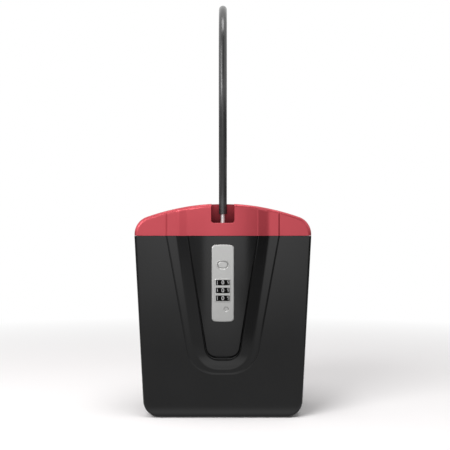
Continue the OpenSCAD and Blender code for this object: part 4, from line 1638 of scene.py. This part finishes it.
# Gives a floor card a glow by its distance, seen only in reflections: a painted reflection
def shade_away(material, share):
    tree = material.node_tree
    split = put(tree, "ShaderNodeSeparateXYZ", {0: object_coords(tree)})
    along = map_range(tree, split.outputs["Y"], 0.0, -TONE_REACH, 0.0, 1.0)
    ramp = put(tree, "ShaderNodeValToRGB", {0: along})
    elements = ramp.color_ramp.elements
    for k, (place, tone) in enumerate(FLOOR_GLOW_TONES):
        element = elements[k] if k < 2 else elements.new(place)
        element.position = place
        element.color = (tone, tone, tone, 1)
    wire(tree, tree.nodes["Principled BSDF"], {
        "Emission Color": ramp.outputs["Color"], "Emission Strength": share,
    })


CAMERA_X = 0.0020


def make_camera():
    studio = sizes("safe_studio")
    data = bpy.data.cameras.new("camera")
    data.lens = studio.lens
    data.sensor_width = 36
    camera = new_object("camera", data)
    camera.location = (CAMERA_X, -studio.distance, studio.eye)
    camera.rotation_euler = (rad(90), 0, 0)
    bpy.context.scene.camera = camera


# Cards: the line on the floor plan that both side cards follow, one of them mirrored,
# where each starts, their top, the card overhead, and the left end, the right end and
# the share of light of each floor card
SIDE_LINE = [(0.5, -0.8), (0.8, -0.5), (1.0, -0.1), (1.0, 0.5), (0.7, 1.1)]
LEFT_START = (-0.215, -0.92)
RIGHT_START = (0.265, -0.9)
SIDE_TOP = 0.32
OVERHEAD = [(-0.7, -1.0, 0.5), (0.7, -1.0, 0.5), (0.7, -0.4, 1.2), (-0.7, -0.4, 1.2)]
FLOOR_CARD_END = -2.4
FLOOR_CARD_Z = 0.001
FLOOR_CARDS = {
    "floor_left": (-0.8, -0.22, 0.8),
    "floor_middle": (-0.22, 0.26, 1.0),
    "floor_right": (0.26, 0.8, 0.35),
}


def make_cards():
    add_side_card("left_card", [LEFT_START] + [(-x, y) for x, y in SIDE_LINE], 0.3)
    add_side_card("right_card", [RIGHT_START] + SIDE_LINE, 0.05)
    add_card("top_card", OVERHEAD, [(0, 1, 2, 3)], 0.15, False)
    for name, (x0, x1, share) in FLOOR_CARDS.items():
        plan = [(x0, FLOOR_CARD_END), (x1, FLOOR_CARD_END), (x1, FOOT_Y), (x0, FOOT_Y)]
        verts = [(x, y, FLOOR_CARD_Z) for x, y in plan]
        shade_away(add_card(name, verts, [(0, 1, 2, 3)], 0.0, False), share)


# Operators: one for each piece or group of like pieces, and one for the stage
class SAFE_OT_body(bpy.types.Operator):
    """Make the tapered body with its raised front"""

    bl_idname = "safe.body"
    bl_label = "Body"

    def execute(self, context):
        make_body(finish("satin black plastic"))
        return {"FINISHED"}


class SAFE_OT_lid(bpy.types.Operator):
    """Make the crowned lid with its notch"""

    bl_idname = "safe.lid"
    bl_label = "Lid"

    def execute(self, context):
        make_lid(lid_finish())
        return {"FINISHED"}


class SAFE_OT_plate(bpy.types.Operator):
    """Make the lock plate and its release button"""

    bl_idname = "safe.plate"
    bl_label = "Plate and button"

    def execute(self, context):
        metal = finish("satin plated metal")
        make_plate(metal)
        make_button(metal)
        return {"FINISHED"}


class SAFE_OT_numbers(bpy.types.Operator):
    """Make the numbers on the three wheels"""

    bl_idname = "safe.numbers"
    bl_label = "Wheel numbers"

    def execute(self, context):
        make_numbers(finish("number paint"))
        return {"FINISHED"}


class SAFE_OT_loop(bpy.types.Operator):
    """Make the sleeve of the loop"""

    bl_idname = "safe.loop"
    bl_label = "Loop sleeve"

    def execute(self, context):
        make_sleeve(finish("smooth black sleeve"))
        return {"FINISHED"}


class SAFE_OT_springs(bpy.types.Operator):
    """Make the coil springs in the lock"""

    bl_idname = "safe.springs"
    bl_label = "Springs"

    def execute(self, context):
        make_coils(finish("turned steel"))
        return {"FINISHED"}


class SAFE_OT_carried(bpy.types.Operator):
    """Give the carried-over solids their finishes"""

    bl_idname = "safe.carried"
    bl_label = "Finishes of the other parts"

    def execute(self, context):
        for name, nodes in CARRIED.items():
            for place in [slot for node in nodes for slot in NODES[node].material_slots]:
                place.material = finish(name)
        return {"FINISHED"}


class SAFE_OT_stage(bpy.types.Operator):
    """Set up the floor, the surround, the lamps and the camera"""

    bl_idname = "safe.stage"
    bl_label = "Stage"

    def execute(self, context):
        studio = sizes("safe_studio")
        make_floor()
        make_world()
        for name, (place, aim, size) in LAMPS.items():
            add_lamp(name, place, aim, size, getattr(studio, name))
        make_cards()
        make_camera()
        context.scene.view_settings.view_transform = "Standard"
        return {"FINISHED"}


STEPS = ["body", "lid", "plate", "numbers", "loop", "springs", "carried", "stage"]


class SAFE_PT_panel(bpy.types.Panel):
    """Sizes, colours and steps of the beach safe"""

    bl_idname = "SAFE_PT_panel"
    bl_label = "Beach safe"
    bl_space_type = "VIEW_3D"
    bl_region_type = "UI"
    bl_category = "Beach safe"

    def draw(self, context):
        for name, group in GROUPS.items():
            box = self.layout.box()
            for field in group.__annotations__:
                box.prop(getattr(context.scene, name), field)
        for step in STEPS:
            self.layout.operator("safe." + step)


CLASSES = [
    *GROUPS.values(),
    SAFE_OT_body,
    SAFE_OT_lid,
    SAFE_OT_plate,
    SAFE_OT_numbers,
    SAFE_OT_loop,
    SAFE_OT_springs,
    SAFE_OT_carried,
    SAFE_OT_stage,
    SAFE_PT_panel,
]


def register():
    for cls in CLASSES:
        bpy.utils.register_class(cls)
    for name, group in GROUPS.items():
        setattr(bpy.types.Scene, name, PointerProperty(type=group))


def unregister():
    for name in GROUPS:
        delattr(bpy.types.Scene, name)
    for cls in reversed(CLASSES):
        bpy.utils.unregister_class(cls)


def main():
    register()
    for step in STEPS:
        getattr(bpy.ops.safe, step)()


if __name__ == "__main__":
    main()
